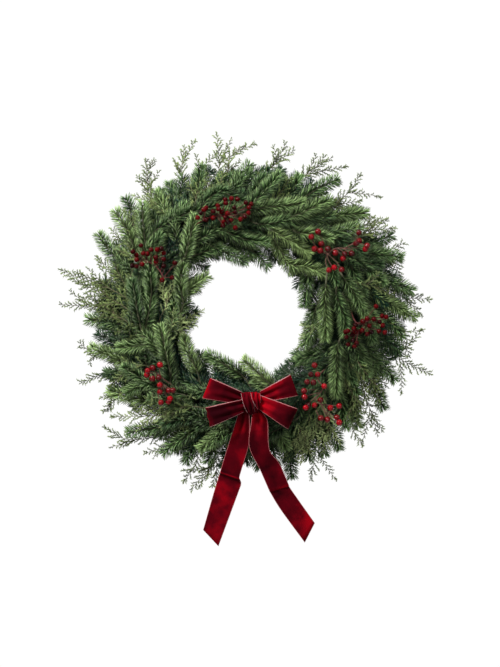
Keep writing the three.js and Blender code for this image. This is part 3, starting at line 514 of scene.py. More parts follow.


# %% [markdown]
# ## Where the fir goes
#
# Each row is one sprig: the x and z where it comes into view, the x and z of its tip, how far both lie in
# front of the ring, and its tone from 0, deep, to 1, pale. The tone holds painted light and painted shade as
# well: sprigs that stand in front are mostly paler, those behind deeper. The first rows are the sprigs that
# the part has as solids. Each starts in the bound stem of its bunch, in the slot of the ring that lies before
# it.

# %% The sprigs that are solids in the part

FIR = [
    (-235, 92, -280, 148, 16, 12, 0.55), (-212, 122, -247, 192, 34, 26, 0.7),
    (-134, 152, -168, 229, 36, 26, 0.6), (-136, 186, -146, 246, 16, 8, 0.5),
    (-96, 197, -86, 278, 28, 16, 0.45), (-112, 118, -96, 180, 54, 50, 0.6),
    (-42, 217, 5, 283, 24, 14, 0.45), (12, 206, 62, 260, 40, 28, 0.5), (28, 198, 106, 208, 54, 46, 0.6),
    (116, 224, 172, 254, 26, 16, 0.5), (150, 180, 227, 190, 36, 26, 0.6),
    (205, 130, 276, 148, 18, 12, 0.35), (222, 112, 294, 107, 30, 18, 0.5), (240, 70, 316, 44, 18, 12, 0.5),
    (248, 32, 321, -6, 26, 16, 0.7), (195, 52, 227, -4, 54, 48, 0.55), (150, 34, 150, -48, 58, 52, 0.65),
    (118, 82, 112, 18, 26, 22, 0.5), (172, -74, 170, -154, 62, 54, 0.6),
    (232, -70, 284, -126, 18, 10, 0.4), (160, -70, 102, -90, 30, 24, 0.5),
    (200, -160, 214, -214, 24, 14, 0.55), (160, -205, 177, -256, 24, 14, 0.5),
    (82, -225, 88, -311, 10, 6, 0.3), (36, -126, -2, -92, 46, 40, 0.85),
    (-20, -110, -72, -80, 26, 20, 0.55), (-94, -238, -114, -283, 12, 8, 0.35),
    (-110, -232, -156, -266, 26, 16, 0.5), (-152, -216, -222, -228, 26, 16, 0.5),
    (-100, -96, -118, -47, 40, 34, 0.7), (-200, -166, -260, -150, 24, 14, 0.75),
    (-236, -92, -293, -67, 24, 14, 0.75), (-150, -80, -162, -28, 56, 52, 0.6),
    (-235, -24, -301, -12, 20, 12, 0.55), (-205, 0, -215, 58, 54, 48, 0.3),
    (-108, 44, -76, 69, 34, 26, 0.75), (-106, 106, -52, 124, 34, 28, 0.5),
    (-50, 120, -2, 100, 34, 26, 0.5), (2, 126, 41, 90, 28, 22, 0.45), (60, 128, 88, 80, 34, 26, 0.75),
    (62, 148, 119, 113, 54, 46, 0.8),
]
print(len(FIR), "sprigs as solids")

# %% The bound stem that a sprig starts in, and its way into view

SLOTS = 24  # places for bound stems round the ring
SLOT_TURN = 360 // SLOTS
SLOT_SHIFT = -3  # degrees from the top to the end of the first one
BUTT_TURN = 9  # degrees of the ring from a bound stem's cut end to the end where its sprigs begin
LEAD = 8  # degrees at least from there to where a sprig comes into view
BOUND_FRONT = 4.7  # millimetres that the bound stems of fir lie in front of the middle of the ring
BARE = 0.012  # metres without needles at the start of every sprig


def turn_of(x, z):
    """Degrees clockwise from the top."""
    return math.degrees(math.atan2(x, z)) % 360


def slot_of(x, z):
    return math.floor((turn_of(x, z) - LEAD - SLOT_SHIFT) / SLOT_TURN) % SLOTS


def by_ring(turn, out=0.0, front=0.0):
    a = math.radians(turn)
    return at((RING + out) * math.sin(a), (RING + out) * math.cos(a), front)


def bound_stem(slot, out, front):
    turn = slot * SLOT_TURN + SLOT_SHIFT
    return by_ring(turn - BUTT_TURN, out, front), by_ring(turn, out, front)


def sprig_line(start, x0, z0, x1, z1, front0, front1, bend):
    """Out of the bound stem, round to where the sprig comes into view, and on to its tip."""
    base, tip = at(x0, z0, front0), at(x1, z1, front1)
    middle = (base + tip) / 2 + np.array([base[2] - tip[2], 0, tip[0] - base[0]]) * bend
    knee = base - unit(middle - base) * 0.5 * np.linalg.norm(base - start)
    hidden = bezier(start, knee, base)
    return np.concatenate([hidden[:-1], bezier(base, middle, tip)]), length_of(hidden)


# %% Grow the bunches

bunches = {}
for number, row in enumerate(FIR, 1):
    bunches.setdefault(slot_of(*row[:2]), []).append((number, row))

faces = 0
for slot, rows in sorted(bunches.items()):
    node = f"fir_bunch_{slot + 1:02d}"
    first, last = bound_stem(slot, 0, BOUND_FRONT)
    needles = Growth()
    lines = [tapered(np.array([first, last]), 0.0024, 0.0022)]
    for number, (x0, z0, x1, z1, front0, front1, tone) in rows:
        tip_front = depth_at(node, x1, z1, 0.6, front1)
        base_front = max(5, front0 + tip_front - front1)
        start = last + (first - last) * 0.12
        bend = (chance(number) - 0.5) * 0.14
        line, hidden = sprig_line(start, x0, z0, x1, z1, base_front, tip_front, bend)
        # The needles begin 22 mm before the sprig comes into view.
        brush(needles, line, max(BARE, hidden - 0.022), tone, number)
        lines.append(tapered(line, 0.0022, 0.0011))
    piece = grown(node + "_sprigs", [(needles, fir_green)], lines, fir_bark, node)
    faces += len(piece.data.polygons)
print(len(bunches), "bunches,", faces, "faces")

# %% [markdown]
# ## Filling the wreath
#
# The part has only the sprigs that stand out. A real wreath of this size has some hundreds of them, laid in
# layers: short ones that form the back and both rims, then a thick middle layer, then the sprigs one sees.
# The fillers come from a seeded generator, each starting on the ring and leaning clockwise like the others.

# %% Sprigs seen in the photograph between the solid ones

MORE_FIR = [
    (-203, 128, -229, 218, 14, 8, 0.35), (72, 213, 102, 260, 18, 10, 0.5), (255, 0, 298, -44, 14, 8, 0.5),
    (56, -210, 73, -252, 30, 24, 0.4), (108, 190, 158, 213, 52, 44, 0.6),
    (-188, 118, -196, 205, 48, 40, 0.6), (-160, 110, -181, 188, 28, 22, 0.3),
    (160, 150, 215, 165, 40, 36, 0.55), (205, 100, 262, 60, 36, 30, 0.5), (95, 90, 150, 73, 40, 38, 0.75),
    (192, -85, 207, -126, 40, 34, 0.3), (180, -165, 190, -217, 30, 24, 0.5),
    (245, -130, 262, -180, 14, 8, 0.45), (-50, -215, -62, -250, 40, 34, 0.5),
    (-90, -140, -150, -112, 34, 30, 0.3), (-120, 28, -118, 88, 50, 46, 0.6),
    (-30, 150, 40, 135, 46, 40, 0.5), (-170, -130, -225, -150, 40, 34, 0.55),
    (-20, -230, -35, -290, 14, 10, 0.4), (-70, 150, -20, 172, 44, 38, 0.5),
    (50, 170, 100, 175, 50, 44, 0.5), (175, 20, 188, -40, 56, 50, 0.5), (128, -10, 112, -60, 44, 38, 0.55),
    (150, -130, 128, -180, 36, 30, 0.4), (-60, -150, -110, -150, 40, 34, 0.45),
    (-175, -60, -205, -30, 44, 40, 0.55), (-140, -20, -132, 30, 44, 38, 0.5),
    (-196, -60, -240, -66, 44, 36, 0.6), (-180, 60, -182, 110, 52, 46, 0.5),
    (110, 150, 160, 140, 56, 50, 0.6), (200, 20, 250, -20, 44, 38, 0.55),
    (210, -60, 232, -112, 40, 34, 0.5), (60, -150, 20, -130, 34, 30, 0.6),
    (-40, -214, -84, -256, 42, 36, 0.65), (-52, -236, -72, -282, 24, 18, 0.5),
    (40, -204, 74, -254, 44, 38, 0.6), (10, -232, 24, -292, 30, 20, 0.35),
    (-10, -228, -22, -276, 30, 22, 0.4), (44, -228, 56, -286, 24, 16, 0.3),
    (112, -222, 120, -276, 16, 10, 0.4), (136, -214, 150, -268, 16, 10, 0.45),
    (70, -205, 26, -190, 60, 62, 0.2), (60, -176, 12, -166, 60, 62, 0.2),
    (20, -205, -38, -196, 60, 60, 0.2), (8, -180, -52, -166, 60, 60, 0.2),
    (50, -225, 14, -240, 58, 60, 0.25), (100, -180, 84, -228, 34, 28, 0.4),
    (-30, 190, 20, 205, 46, 40, 0.55), (-20, -160, -70, -180, 30, 26, 0.4),
]
print(len(MORE_FIR), "more sprigs")

# %% Layers of fillers: count, radii at start, reach at tip, turn, depth at start and tip, tone

RIMS = np.array([  # at each hour of a clock, how far the green reaches inwards and outwards
    (100, 283), (109, 288), (109, 299), (112, 318), (116, 288), (124, 296), (96, 298), (98, 300), (118, 296),
    (92, 289), (101, 282), (122, 290), (100, 283),
])
# Tones are low in the back and middle layers and highest in the front one: painted shade deep in the green.
LAYERS = [
    (52, (212, 236), (0.90, 0.99), (4, 18), (11, 6), 0.12),
    (48, (222, 240), (0.84, 0.97), (2, 20), (18, 12), 0.2),
    (52, (180, 190), (0.02, 0.14), (9, 24), (12, 9), 0.22),
    (44, (190, 215), (0.68, 0.85), (10, 28), (16, 10), 0.0),
    (40, (168, 196), (0.18, 0.38), (14, 32), (18, 12), 0.0),
    (44, (180, 215), (0.55, 0.74), (10, 30), (28, 24), 0.03),
    (40, (160, 185), (0.25, 0.42), (14, 30), (32, 28), 0.05),
    (32, (180, 232), (0.35, 0.85), (8, 30), (42, 38), 0.35),
]
print(sum(layer[0] for layer in LAYERS), "fillers")


def fillers():
    """Rows like those of the traced sprigs. The reach runs from 0 at the inner rim to 1 at the outer one."""
    rng = np.random.default_rng(24)
    for layer, (count, start, reach, sweep, fronts, tone) in enumerate(LAYERS):
        for k in range(count):
            turn = (k + rng.uniform(-0.3, 0.3)) * 360 / count + 5 * layer
            tip = turn + rng.uniform(*sweep)
            inner, outer = (np.interp(tip % 360 / 30, range(13), RIMS[:, rim]) for rim in (0, 1))
            r0 = rng.uniform(*start)
            r1 = inner + (outer - inner) * rng.uniform(*reach)
            a, b = math.radians(turn), math.radians(tip)
            depth = rng.uniform(-4, 4)
            yield (
                r0 * math.sin(a), r0 * math.cos(a), r1 * math.sin(b), r1 * math.cos(b),
                fronts[0] + depth, fronts[1] + depth, tone + rng.normal(0, 0.12),
            )


# %% Grow them, in groups that each take an equal part of the ring


def sector(x, z, parts):
    """Which of so many equal parts a place lies in, clockwise from the top."""
    return turn_of(x, z) * parts // 360


GROUPS = [  # name, rows, first seed, metres of stem to a needle, parts
    ("more", MORE_FIR, 300, SPACING, 4),
    ("fill", list(fillers()), 500, 0.00049, 8),
]
for title, rows, seed, spacing, parts in GROUPS:
    for part in range(parts):
        needles, lines = Growth(), []
        for k, (x0, z0, x1, z1, front0, front1, tone) in enumerate(rows, seed):
            if sector(x0, z0, parts) != part:
                continue
            start = bound_stem(slot_of(x0, z0), 0, BOUND_FRONT)[1]
            bend = 0.3 * (chance(k) - 0.5)
            line, hidden = sprig_line(start, x0, z0, x1, z1, max(4, front0), max(2, front1), bend)
            brush(needles, line, max(BARE, hidden - 0.03), tone, k, spacing)
            lines.append(tapered(line, 0.0019, 0.001))
        piece = grown(f"fir_{title}_{part + 1}", [(needles, fir_green)], lines, fir_bark)
        print(piece.name, len(lines), "sprigs,", len(piece.data.polygons), "faces")

# %% [markdown]
# ## Juniper
#
# Juniper sprays are what gives the wreath its soft outline. A thin dark stem carries side twigs, left and
# right in turn, and every twig is clothed in scale leaves a few millimetres long. One twig is modelled with
# its leaves, in three lengths, and copied along each stem. Twigs get shorter towards the end of a spray.

# %% Model three twigs

BACK = np.array([0.0, 1.0, 0.0])
LEAF_WIDE = 0.0015
# The leaves that lie along the twig, and those that stand out: metres to a leaf, lean in degrees, longest
LEAVES = ((0.0009, 16, 0.0028), (0.0016, 40, 0.0053))


def model_twig(length, seed):
    """A thin stem with leaves all round it, along z and a unit long."""
    rng = np.random.default_rng(seed)
    line = bezier(np.zeros(3), np.array([0.05, 0, 0.55]) * length, np.array([-0.04, 0, 1]) * length, 8)
    leaves = Growth()
    for every, lean_mean, longest in LEAVES:
        count = int(length / every)
        point, way = walk(line, (np.arange(count) + 0.6) * length_of(line) / (count + 0.6))
        turn = np.arange(count) * math.radians(97) + rng.normal(0, 0.3, count)
        lean = np.radians(rng.normal(lean_mean, 6, count))
        _, out, ahead = leaning(way, BACK, turn, lean)
        across = unit(np.cross(ahead, out))
        long = longest * rng.uniform(0.7, 1.1, count)
        scale = np.stack(np.broadcast_arrays(LEAF_WIDE, LEAF_WIDE * 0.7, long), axis=1)
        leaves.add(leaf, point, across, ahead, scale, 0.5, 0.5)
    wood = stems("twig_wood", [tapered(line, 0.00075, 0.0005)], juniper_green)
    twig = Shape(joined("juniper_twig", leaves.object("twig_leaves", juniper_green), wood))
    twig.corners = twig.corners / length
    return twig


twigs = [model_twig(0.008, 1), model_twig(0.013, 2), model_twig(0.018, 3)]
print("twigs:", [len(t.sizes) for t in twigs], "faces")

# %% Twigs along a stem

TWIG_STEP = 0.0045  # metres of stem to a twig
KIND_LIMITS = (0.0105, 0.0155)  # lengths at which the next longer of the three twigs is taken


def feather(growth, line, start, sprig, seed, longest=0.019):
    """Adds side twigs to a spray, from `start` metres along its line to its tip, and one at the very tip."""
    rng = np.random.default_rng(seed)
    whole = length_of(line)
    count = max(3, int((whole - start) / TWIG_STEP))
    s = start + (np.arange(count) + rng.uniform(-0.2, 0.2, count) + 0.5) * (whole - start) / count
    s = np.append(s, whole - 0.001)
    point, way = walk(line, s)
    # To the left and to the right in turn.
    turn = np.where(np.arange(count + 1) % 2, 1, -1) * np.radians(rng.normal(78, 24, count + 1))
    lean = np.radians(rng.normal(37, 9, count + 1))
    lean[-1] = 0.05
    ahead = leaning(way, FRONT, turn, lean)[2]
    across = unit(np.cross(ahead, way + 0.01))
    # Down to half as long over the last 45 mm.
    from_tip = np.clip((whole - s) / 0.045, 0, 1)
    long = longest * (0.5 + 0.5 * from_tip) * rng.uniform(0.5, 1.2, count + 1)
    tone = np.clip(rng.normal(0.5, 0.15, count + 1), 0, 1)
    kind = np.digitize(long, KIND_LIMITS)
    for k, twig in enumerate(twigs):
        here = kind == k
        if here.any():
            growth.add(twig, point[here], across[here], ahead[here], long[here][:, None], tone[here], sprig)


# %% [markdown]
# ## Where the juniper goes
#
# The first list repeats the ways of the part's solids. Each row has the tone, three places that the stem
# passes, as x, z and distance in front of the ring, and then its side branches, as x and z at both ends.
# The second list has the other sprays of the photograph, which are too fine for solids.

# %% The sprays that are solids in the part

JUNIPER = [
    (0.6, (-120, 205, 10), (-124, 270, 6), (-119, 320, 4), (-122, 286, -100, 328), (-124, 262, -137, 293)),
    (0.6, (-66, 215, 8), (-52, 280, 4), (-56, 341, 2), (-52, 278, -29, 334)),
    (0.5, (14, 252, 6), (58, 289, 4), (91, 312, 2), (56, 287, 52, 321)),
    (0.4, (76, 238, 4), (120, 266, 2), (188, 281, 0), (116, 264, 134, 303)),
    (0.4, (160, 205, 8), (196, 231, 4), (218, 264, 2), (196, 230, 256, 224)),
    (0.6, (205, 142, 34), (236, 158, 24), (283, 162, 18), (230, 156, 258, 179)),
    (0.4, (258, 58, 6), (300, 32, 4), (349, 27, 2), (298, 33, 338, -4)),
    (0.45, (250, -30, 8), (288, -82, 6), (352, -116, 2), (288, -82, 337, -32), (292, -86, 298, -150)),
    (0.55, (140, -205, 8), (132, -276, 6), (124, -317, 4), (134, -262, 170, -316)),
    (0.45, (-40, -222, 6), (-64, -288, 4), (-104, -336, 2), (-68, -294, -118, -302)),
    (0.45, (-130, -228, 6), (-222, -243, 4), (-270, -221, 2), (-216, -243, -257, -257)),
    (0.45, (-222, -112, 6), (-274, -117, 4), (-317, -134, 2), (-246, -115, -264, -184)),
    (0.4, (-236, 4, 6), (-298, 12, 4), (-355, 17, 2), (-300, 12, -337, 42)),
    (0.5, (-214, 22, 22), (-262, 42, 14), (-353, 82, 6), (-256, 40, -282, 104)),
    (0.45, (-165, 152, 24), (-186, 228, 14), (-192, 292, 8), (-184, 222, -208, 261)),
    (0.95, (-172, -46, 34), (-140, -26, 38), (-88, 2, 34), (-134, -24, -124, 7)),
]

# %% The finer ones

MORE_JUNIPER = [
    (0.6, (-100, 235, 12), (-85, 275, 8), (-60, 305, 4), (-88, 268, -96, 300)),
    (0.6, (-36, 270, 10), (-30, 300, 6), (14, 325, 3), (-28, 300, -10, 318)),
    (0.6, (-20, 235, 12), (-36, 280, 6), (-40, 300, 4), (-34, 270, -12, 292)),
    (0.5, (30, 262, 6), (56, 287, 4), (75, 324, 2)),
    (0.45, (100, 256, 4), (126, 272, 3), (150, 300, 1), (136, 272, 165, 299)),
    (0.4, (-180, 236, 10), (-190, 262, 6), (-178, 295, 3), (-186, 240, -168, 270)),
    (0.7, (-165, 200, 20), (-190, 215, 14), (-213, 225, 8)),
    (0.6, (-215, 130, 20), (-238, 138, 14), (-256, 158, 8), (-236, 137, -252, 141)),
    (0.5, (-205, 150, 26), (-222, 180, 20), (-236, 196, 14),
     (-216, 170, -204, 196), (-214, 166, -236, 170)),
    (0.6, (200, 150, 36), (225, 168, 30), (268, 176, 20), (228, 168, 236, 184)),
    (0.5, (222, 112, 14), (276, 122, 8), (302, 134, 4), (262, 118, 280, 106)),
    (0.5, (236, 122, 20), (278, 104, 14), (298, 66, 8)),
    (0.65, (225, 150, 26), (240, 158, 22), (246, 182, 16)),
    (0.5, (250, -8, 14), (297, -42, 8), (313, -80, 4), (290, -34, 338, -32)),
    (0.5, (225, -80, 16), (245, -112, 10), (268, -138, 5), (242, -106, 256, -157), (244, -100, 280, -104)),
    (0.5, (225, -150, 16), (240, -188, 10), (262, -225, 5), (238, -184, 222, -250), (240, -190, 252, -235)),
    # These sprays at the lower right have tones near 1: painted light that lifts the shade falling on them.
    (1.05, (150, -150, 44), (134, -200, 40), (96, -253, 30),
     (126, -214, 86, -250), (120, -228, 104, -284), (130, -200, 150, -236)),
    (0.9, (100, -230, 24), (86, -262, 16), (76, -295, 10), (90, -252, 108, -280)),
    (1.0, (160, -180, 36), (158, -220, 30), (150, -262, 20),
     (158, -212, 176, -244), (158, -222, 136, -250)),
    (0.8, (200, -190, 20), (206, -226, 14), (222, -250, 8)),
    (1.1, (120, -190, 40), (126, -222, 34), (118, -262, 24),
     (126, -212, 106, -240), (126, -216, 146, -250)),
    (1.05, (96, -206, 36), (108, -236, 28), (100, -280, 16), (104, -226, 88, -252), (108, -240, 128, -272)),
    (0.5, (-60, -240, 8), (-56, -292, 5), (-64, -331, 2), (-58, -296, -54, -338), (-58, -280, -90, -334)),
    (0.4, (-80, -250, 10), (-96, -290, 6), (-117, -320, 3)),
    (0.45, (-120, -226, 12), (-150, -252, 8), (-190, -268, 4), (-152, -252, -178, -278)),
    (0.8, (-120, -190, 36), (-180, -196, 30), (-253, -198, 18),
     (-170, -196, -206, -222), (-186, -196, -214, -176)),
    (0.5, (-230, -150, 20), (-250, -166, 14), (-270, -186, 8), (-246, -162, -276, -160)),
    (0.4, (-240, -62, 14), (-288, -78, 8), (-320, -57, 4), (-280, -76, -300, -96)),
    (0.6, (-226, -10, 30), (-270, 6, 22), (-310, 20, 12), (-264, 4, -286, -14), (-260, 2, -280, 30)),
    (0.55, (-210, 60, 30), (-244, 70, 24), (-284, 106, 14), (-240, 69, -268, 60)),
    (0.95, (-158, 0, 44), (-150, 22, 46), (-160, 62, 44),
     (-151, 20, -136, 55), (-150, 16, -170, 58), (-150, 24, -144, 54)),
    (0.95, (-160, -38, 42), (-140, -32, 42), (-96, -18, 36), (-146, -34, -134, 4), (-146, -34, -120, -38)),
    (0.9, (-150, -60, 46), (-146, -30, 44), (-138, 2, 40), (-147, -34, -124, -6)),
    (0.85, (-150, -150, 46), (-124, -170, 42), (-90, -204, 34),
     (-134, -162, -100, -160), (-128, -168, -120, -198)),
    (0.7, (-176, -150, 44), (-150, -184, 38), (-112, -222, 28), (-152, -182, -160, -216)),
    (0.85, (140, -18, 44), (118, -36, 40), (101, -64, 34), (124, -30, 108, -22), (120, -34, 103, -46)),
    (0.6, (-104, 190, 36), (-92, 232, 28), (-74, 262, 20), (-96, 216, -112, 246), (-94, 226, -70, 238)),
    (0.65, (-70, 200, 36), (-52, 236, 30), (-44, 268, 20), (-58, 222, -78, 250), (-56, 226, -30, 246)),
    (0.5, (-150, 180, 34), (-172, 208, 28), (-186, 236, 18), (-160, 194, -146, 224)),
    (0.55, (-196, 90, 44), (-222, 110, 36), (-246, 120, 26), (-212, 102, -226, 136)),
    (0.5, (30, 200, 40), (62, 226, 32), (84, 256, 22), (50, 216, 80, 222)),
    (0.5, (150, 196, 36), (184, 208, 28), (214, 214, 18), (172, 204, 180, 230)),
    (0.6, (190, -90, 44), (216, -118, 38), (232, -160, 28), (210, -110, 244, -128)),
    (0.6, (-190, -100, 42), (-226, -112, 34), (-256, -136, 24), (-214, -108, -232, -88)),
    (0.55, (-40, -200, 40), (-60, -232, 34), (-84, -262, 24), (-54, -222, -36, -250)),
    (0.6, (206, 60, 44), (240, 52, 38), (276, 34, 28), (228, 56, 250, 74)),
    (0.5, (-214, -4, 44), (-262, 30, 36), (-334, 66, 16),
     (-270, 34, -318, 24), (-262, 30, -290, 62), (-244, 18, -296, 8)),
    (0.45, (-222, 24, 44), (-270, 52, 34), (-324, 78, 16), (-262, 48, -300, 84), (-266, 50, -312, 46)),
    (0.4, (-206, -30, 42), (-250, -2, 36), (-300, 34, 24), (-240, -8, -276, -10), (-250, -2, -262, 34)),
    (0.35, (-206, 0, 42), (-226, 44, 38), (-250, 90, 26), (-222, 34, -254, 56), (-226, 44, -214, 84)),
    (0.4, (-190, -50, 44), (-220, -34, 40), (-252, 6, 34), (-216, -36, -246, -36), (-210, -40, -212, -4)),
    (0.55, (-92, -178, 50), (-142, -180, 44), (-204, -186, 34),
     (-118, -179, -150, -200), (-150, -181, -186, -164)),
    (0.35, (186, -120, 46), (206, -160, 40), (214, -206, 30),
     (204, -150, 228, -190), (206, -168, 190, -200)),
    (0.35, (214, -96, 44), (240, -130, 36), (252, -176, 24),
     (236, -124, 262, -150), (238, -128, 230, -166)),
]
print(len(JUNIPER), "and", len(MORE_JUNIPER), "sprays")

# %% Grow the juniper

LEAFY = 0.05  # metres at a spray's end that always carry twigs


def spray(growth, lines, start, way, branches, tone, seed, shift=0.0):
    """One spray: its stem from the ring out, its branches, and the twigs on all of them."""
    places = [at(x, z, front + shift) for x, z, front in way]
    stem = smooth_line([start, *places])
    bare = np.linalg.norm(places[0] - start)
    feather(growth, stem, min(bare, length_of(stem) - LEAFY), tone, seed)
    lines.append(tapered(stem, 0.0013, 0.00045))
    along = unit(stem[-1] - stem[0])
    for k, (x0, z0, x1, z1) in enumerate(branches):
        root = stem[np.argmin(np.hypot(*(stem - at(x0, z0))[:, (0, 2)].T))]
        tip = at(x1, z1)
        tip[1] = root[1]
        branch = bezier(root, root + (tip - root) * 0.4 + along * 0.005, tip, 10)
        feather(growth, branch, 0.004, tone, seed + 50 + k, 0.014)
        lines.append(tapered(branch, 0.00085, 0.0004))


for number, (tone, *rest) in enumerate(JUNIPER, 1):
    node = f"juniper_spray_{number:02d}"
    way, branches = rest[:3], rest[3:]
    x, z, _ = way[0]
    start = bound_stem(slot_of(x, z), -3.9 if math.hypot(x, z) < RING else 4.5, 0)[1]
    tip_x, tip_z, tip_front = way[-1]
    shift = depth_at(node, tip_x, tip_z, 0.8, tip_front) - tip_front
    leaves, lines = Growth(), []
    spray(leaves, lines, start, way, branches, tone, 700 + number, shift)
    grown(node + "_leaves", [(leaves, juniper_green)], lines, juniper_bark, node)

for quarter in range(4):
    leaves, lines = Growth(), []
    for number, (tone, *rest) in enumerate(MORE_JUNIPER):
        x, z, _ = rest[0]
        if sector(x, z, 4) == quarter:
            start = bound_stem(slot_of(x, z), 0, 6)[1]
            spray(leaves, lines, start, rest[:3], rest[3:], tone, 800 + number)
    copies = [(leaves, juniper_green)]
    piece = grown(f"juniper_more_{quarter + 1}", copies, lines, juniper_bark)
    print(piece.name, len(lines), "stems,", len(piece.data.polygons), "faces")

# %% [markdown]
# ## Berries
#
# There are two kinds. The small matt ones at the top, the left and the right are nearly brown and dull, on
# stiff red stems. The large ones are bright and glossy, on brown stems that curl. Each berry is a ball with
# a dimple at both ends and a dark calyx at the far one. A UV sphere is used, because its poles are where
# the dimples go.

# %% Model a berry and its calyx


def model_berry(name, segments, rings, dimple):
    clear_selection()
    bpy.ops.mesh.primitive_uv_sphere_add(segments=segments, ring_count=rings, radius=1)
    made = fresh(name)
    for pole in (1, -1):
        select_where(made, lambda co: co.z * pole > 0.99)
        bpy.ops.transform.translate(value=(0, 0, -pole * dimple))
    bpy.ops.object.mode_set(mode="OBJECT")
    return Shape(made)


def model_calyx():
    """Five blunt scales round the end of a berry: every other corner of a low cone's base is drawn in."""
    clear_selection()
    bpy.ops.mesh.primitive_cone_add(vertices=10, radius1=0.3, radius2=0.12, depth=0.16, location=(0, 0, 0.98))
    made = fresh("calyx")
    bpy.ops.object.transform_apply(location=True)
    for v in made.data.vertices:
        if v.co.z < 0.95 and round(math.atan2(v.co.x, v.co.y) / math.radians(36)) % 2:
            v.co.x *= 0.55
            v.co.y *= 0.55
    return Shape(made)


small_berry = model_berry("small_berry", 12, 8, 0.1)
large_berry = model_berry("large_berry", 16, 10, 0.06)
calyx = model_calyx()
print("berries:", len(small_berry.sizes), "and", len(large_berry.sizes), "faces, calyx:", len(calyx.sizes))

# %% Where the berries are: kind, front, forks of the twig, berries

CLUSTERS = {
    "berries_top": ("small", 74, [(-86, 172), (-58, 182), (-28, 186)], [
        (-39, 213), (-27, 215), (-16, 214), (-38, 206), (0, 207), (10, 205), (6, 198), (-53, 202),
        (-75, 198), (-79, 194), (-85, 188), (-91, 179), (-51, 195), (-62, 191), (-46, 190), (-22, 198),
        (-20, 189), (-35, 187), (5, 188), (-62, 179), (-75, 175), (-39, 180), (-2, 181), (-10, 176),
        (-28, 175), (-42, 172), (-33, 170), (-43, 164), (-20, 160)]),
    "berries_left": ("small", 70, [(-158, 62), (-170, 88), (-194, 100)], [
        (-198, 127), (-213, 115), (-207, 109), (-194, 112), (-187, 112), (-179, 119), (-167, 119),
        (-159, 121), (-155, 113), (-155, 101), (-170, 104), (-170, 96), (-206, 100), (-214, 89),
        (-206, 87), (-196, 92), (-155, 88), (-158, 62), (-134, 94), (-139, 66)]),
    "berries_right": ("small", 72, [(204, -12), (222, -24), (206, -42)], [
        (245, 12), (257, -6), (264, -8), (228, -11), (241, -12), (220, -16), (252, -17), (206, -23),
        (258, -24), (233, -25), (203, -30), (219, -33), (192, -34), (188, -36), (207, -36), (215, -36),
        (236, -36), (251, -35), (201, -41), (229, -40), (262, -37), (189, -46), (202, -52), (208, -57),
        (193, -60), (205, -63)]),
    "berries_upper_right": ("large", 74, [(150, 112), (170, 122), (202, 120)], [
        (136, 153), (123, 143), (142, 130), (129, 120), (140, 117), (154, 120), (168, 113), (186, 111),
        (183, 102), (199, 112), (156, 80), (166, 85), (180, 81), (207, 130), (214, 136), (228, 126),
        (225, 120), (213, 151)]),
    "berries_lower_left": ("large", 74, [(-152, -128), (-170, -112), (-150, -154)], [
        (-162, -98), (-176, -104), (-185, -109), (-187, -117), (-176, -124), (-164, -122), (-162, -136),
        (-162, -149), (-145, -147), (-137, -146), (-143, -162), (-147, -168), (-160, -169)]),
    "berries_lower_right": ("large", 80, [(136, -120), (145, -142), (130, -166), (158, -176)], [
        (129, -99), (122, -116), (135, -116), (115, -130), (127, -131), (147, -138), (109, -147),
        (110, -158), (140, -164), (117, -173), (112, -178), (129, -174), (159, -179), (175, -175),
        (141, -198), (153, -201), (171, -197), (175, -206)]),
}
KINDS = {  # shape, skin, bark, radius, points of the twig from a berry back to its stem's foot, curl
    "small": (small_berry, matt_berry, red_stem, 0.0048, 4, 0.1),
    "large": (large_berry, glossy_berry, brown_stem, 0.0057, 6, 0.28),
}
APART = 1.96  # least distance between the middles of two berries, in radii


def seats(places, front, radius):
    """A depth for every berry at which it touches none of the others."""
    found = []
    for k, (x, z) in enumerate(places):
        wish = front - 9 * chance(x + 3 * z + k)
        for step in (0, 3, -3, 6, -6, -9, -12, -15):
            here = at(x, z, wish + step)
            if all(np.linalg.norm(here - there) > APART * radius for there in found):
                break
        found.append(here)
    return np.array(found)


# %% Grow the clusters

for order, (name, (kind, front, forks, places)) in enumerate(CLUSTERS.items()):
    rng = np.random.default_rng(40 + order)
    shape, skin, bark, radius, back, curl = KINDS[kind]
    start = bound_stem(slot_of(*forks[0]), -3.8, 0)[1]
    twig = smooth_line([start, *[at(x, z, front - 15) for x, z in forks]], 12)
    lines = [tapered(twig, 0.0012, 0.0007)]
    middles = seats(places, front, radius)
    ahead = []
    for middle in middles:
        near = int(np.argmin(np.linalg.norm(twig - middle, axis=1)))
        root = twig[max(14, near - back)]
        across = unit(np.cross(middle - root, FRONT)) * np.linalg.norm(middle - root)
        knee = root + (middle - root) * 0.55 + across * rng.uniform(-curl, curl) - FRONT * 0.003
        stem = bezier(root, knee, middle, 9)
        ahead.append(unit(stem[-1] - stem[-2] + FRONT * 0.0012))
        lines.append(tapered(stem, 0.00058, 0.00045))
    ahead = unit(np.array(ahead))
    side = unit(np.cross(ahead, (0.3, 0.2, 1.0)))
    size = radius * rng.uniform(0.93, 1.04, len(places))[:, None]
    fruit, ends = Growth(), Growth()
    fruit.add(shape, middles, side, ahead, size, rng.random(len(places)), 0.5)
    ends.add(calyx, middles, side, ahead, size, 0.5, 0.5)
    grown(name + "_fruit", [(fruit, skin), (ends, calyx_dark)], lines, bark, name)
    print(name, len(places), "berries")

# %% [markdown]
# ## Velvet
#
# Velvet is dark where one looks into the pile and bright where one sees it from the side, so its shader
# leans on sheen. Over that, broad soft patches of painted sheen and painted shade are laid into its colour:
# an attribute on each ribbon says where those are, and noise breaks them up. The two edges are woven in
# satin and catch the light as thin lines.

# %% Velvet and satin

velvet = Finish(
    "velvet", Roughness=0.85, Sheen_Weight=0.24, Sheen_Roughness=0.35, Sheen_Tint=(1.0, 0.03, 0.06, 1),
    Specular_IOR_Level=0.02,
)
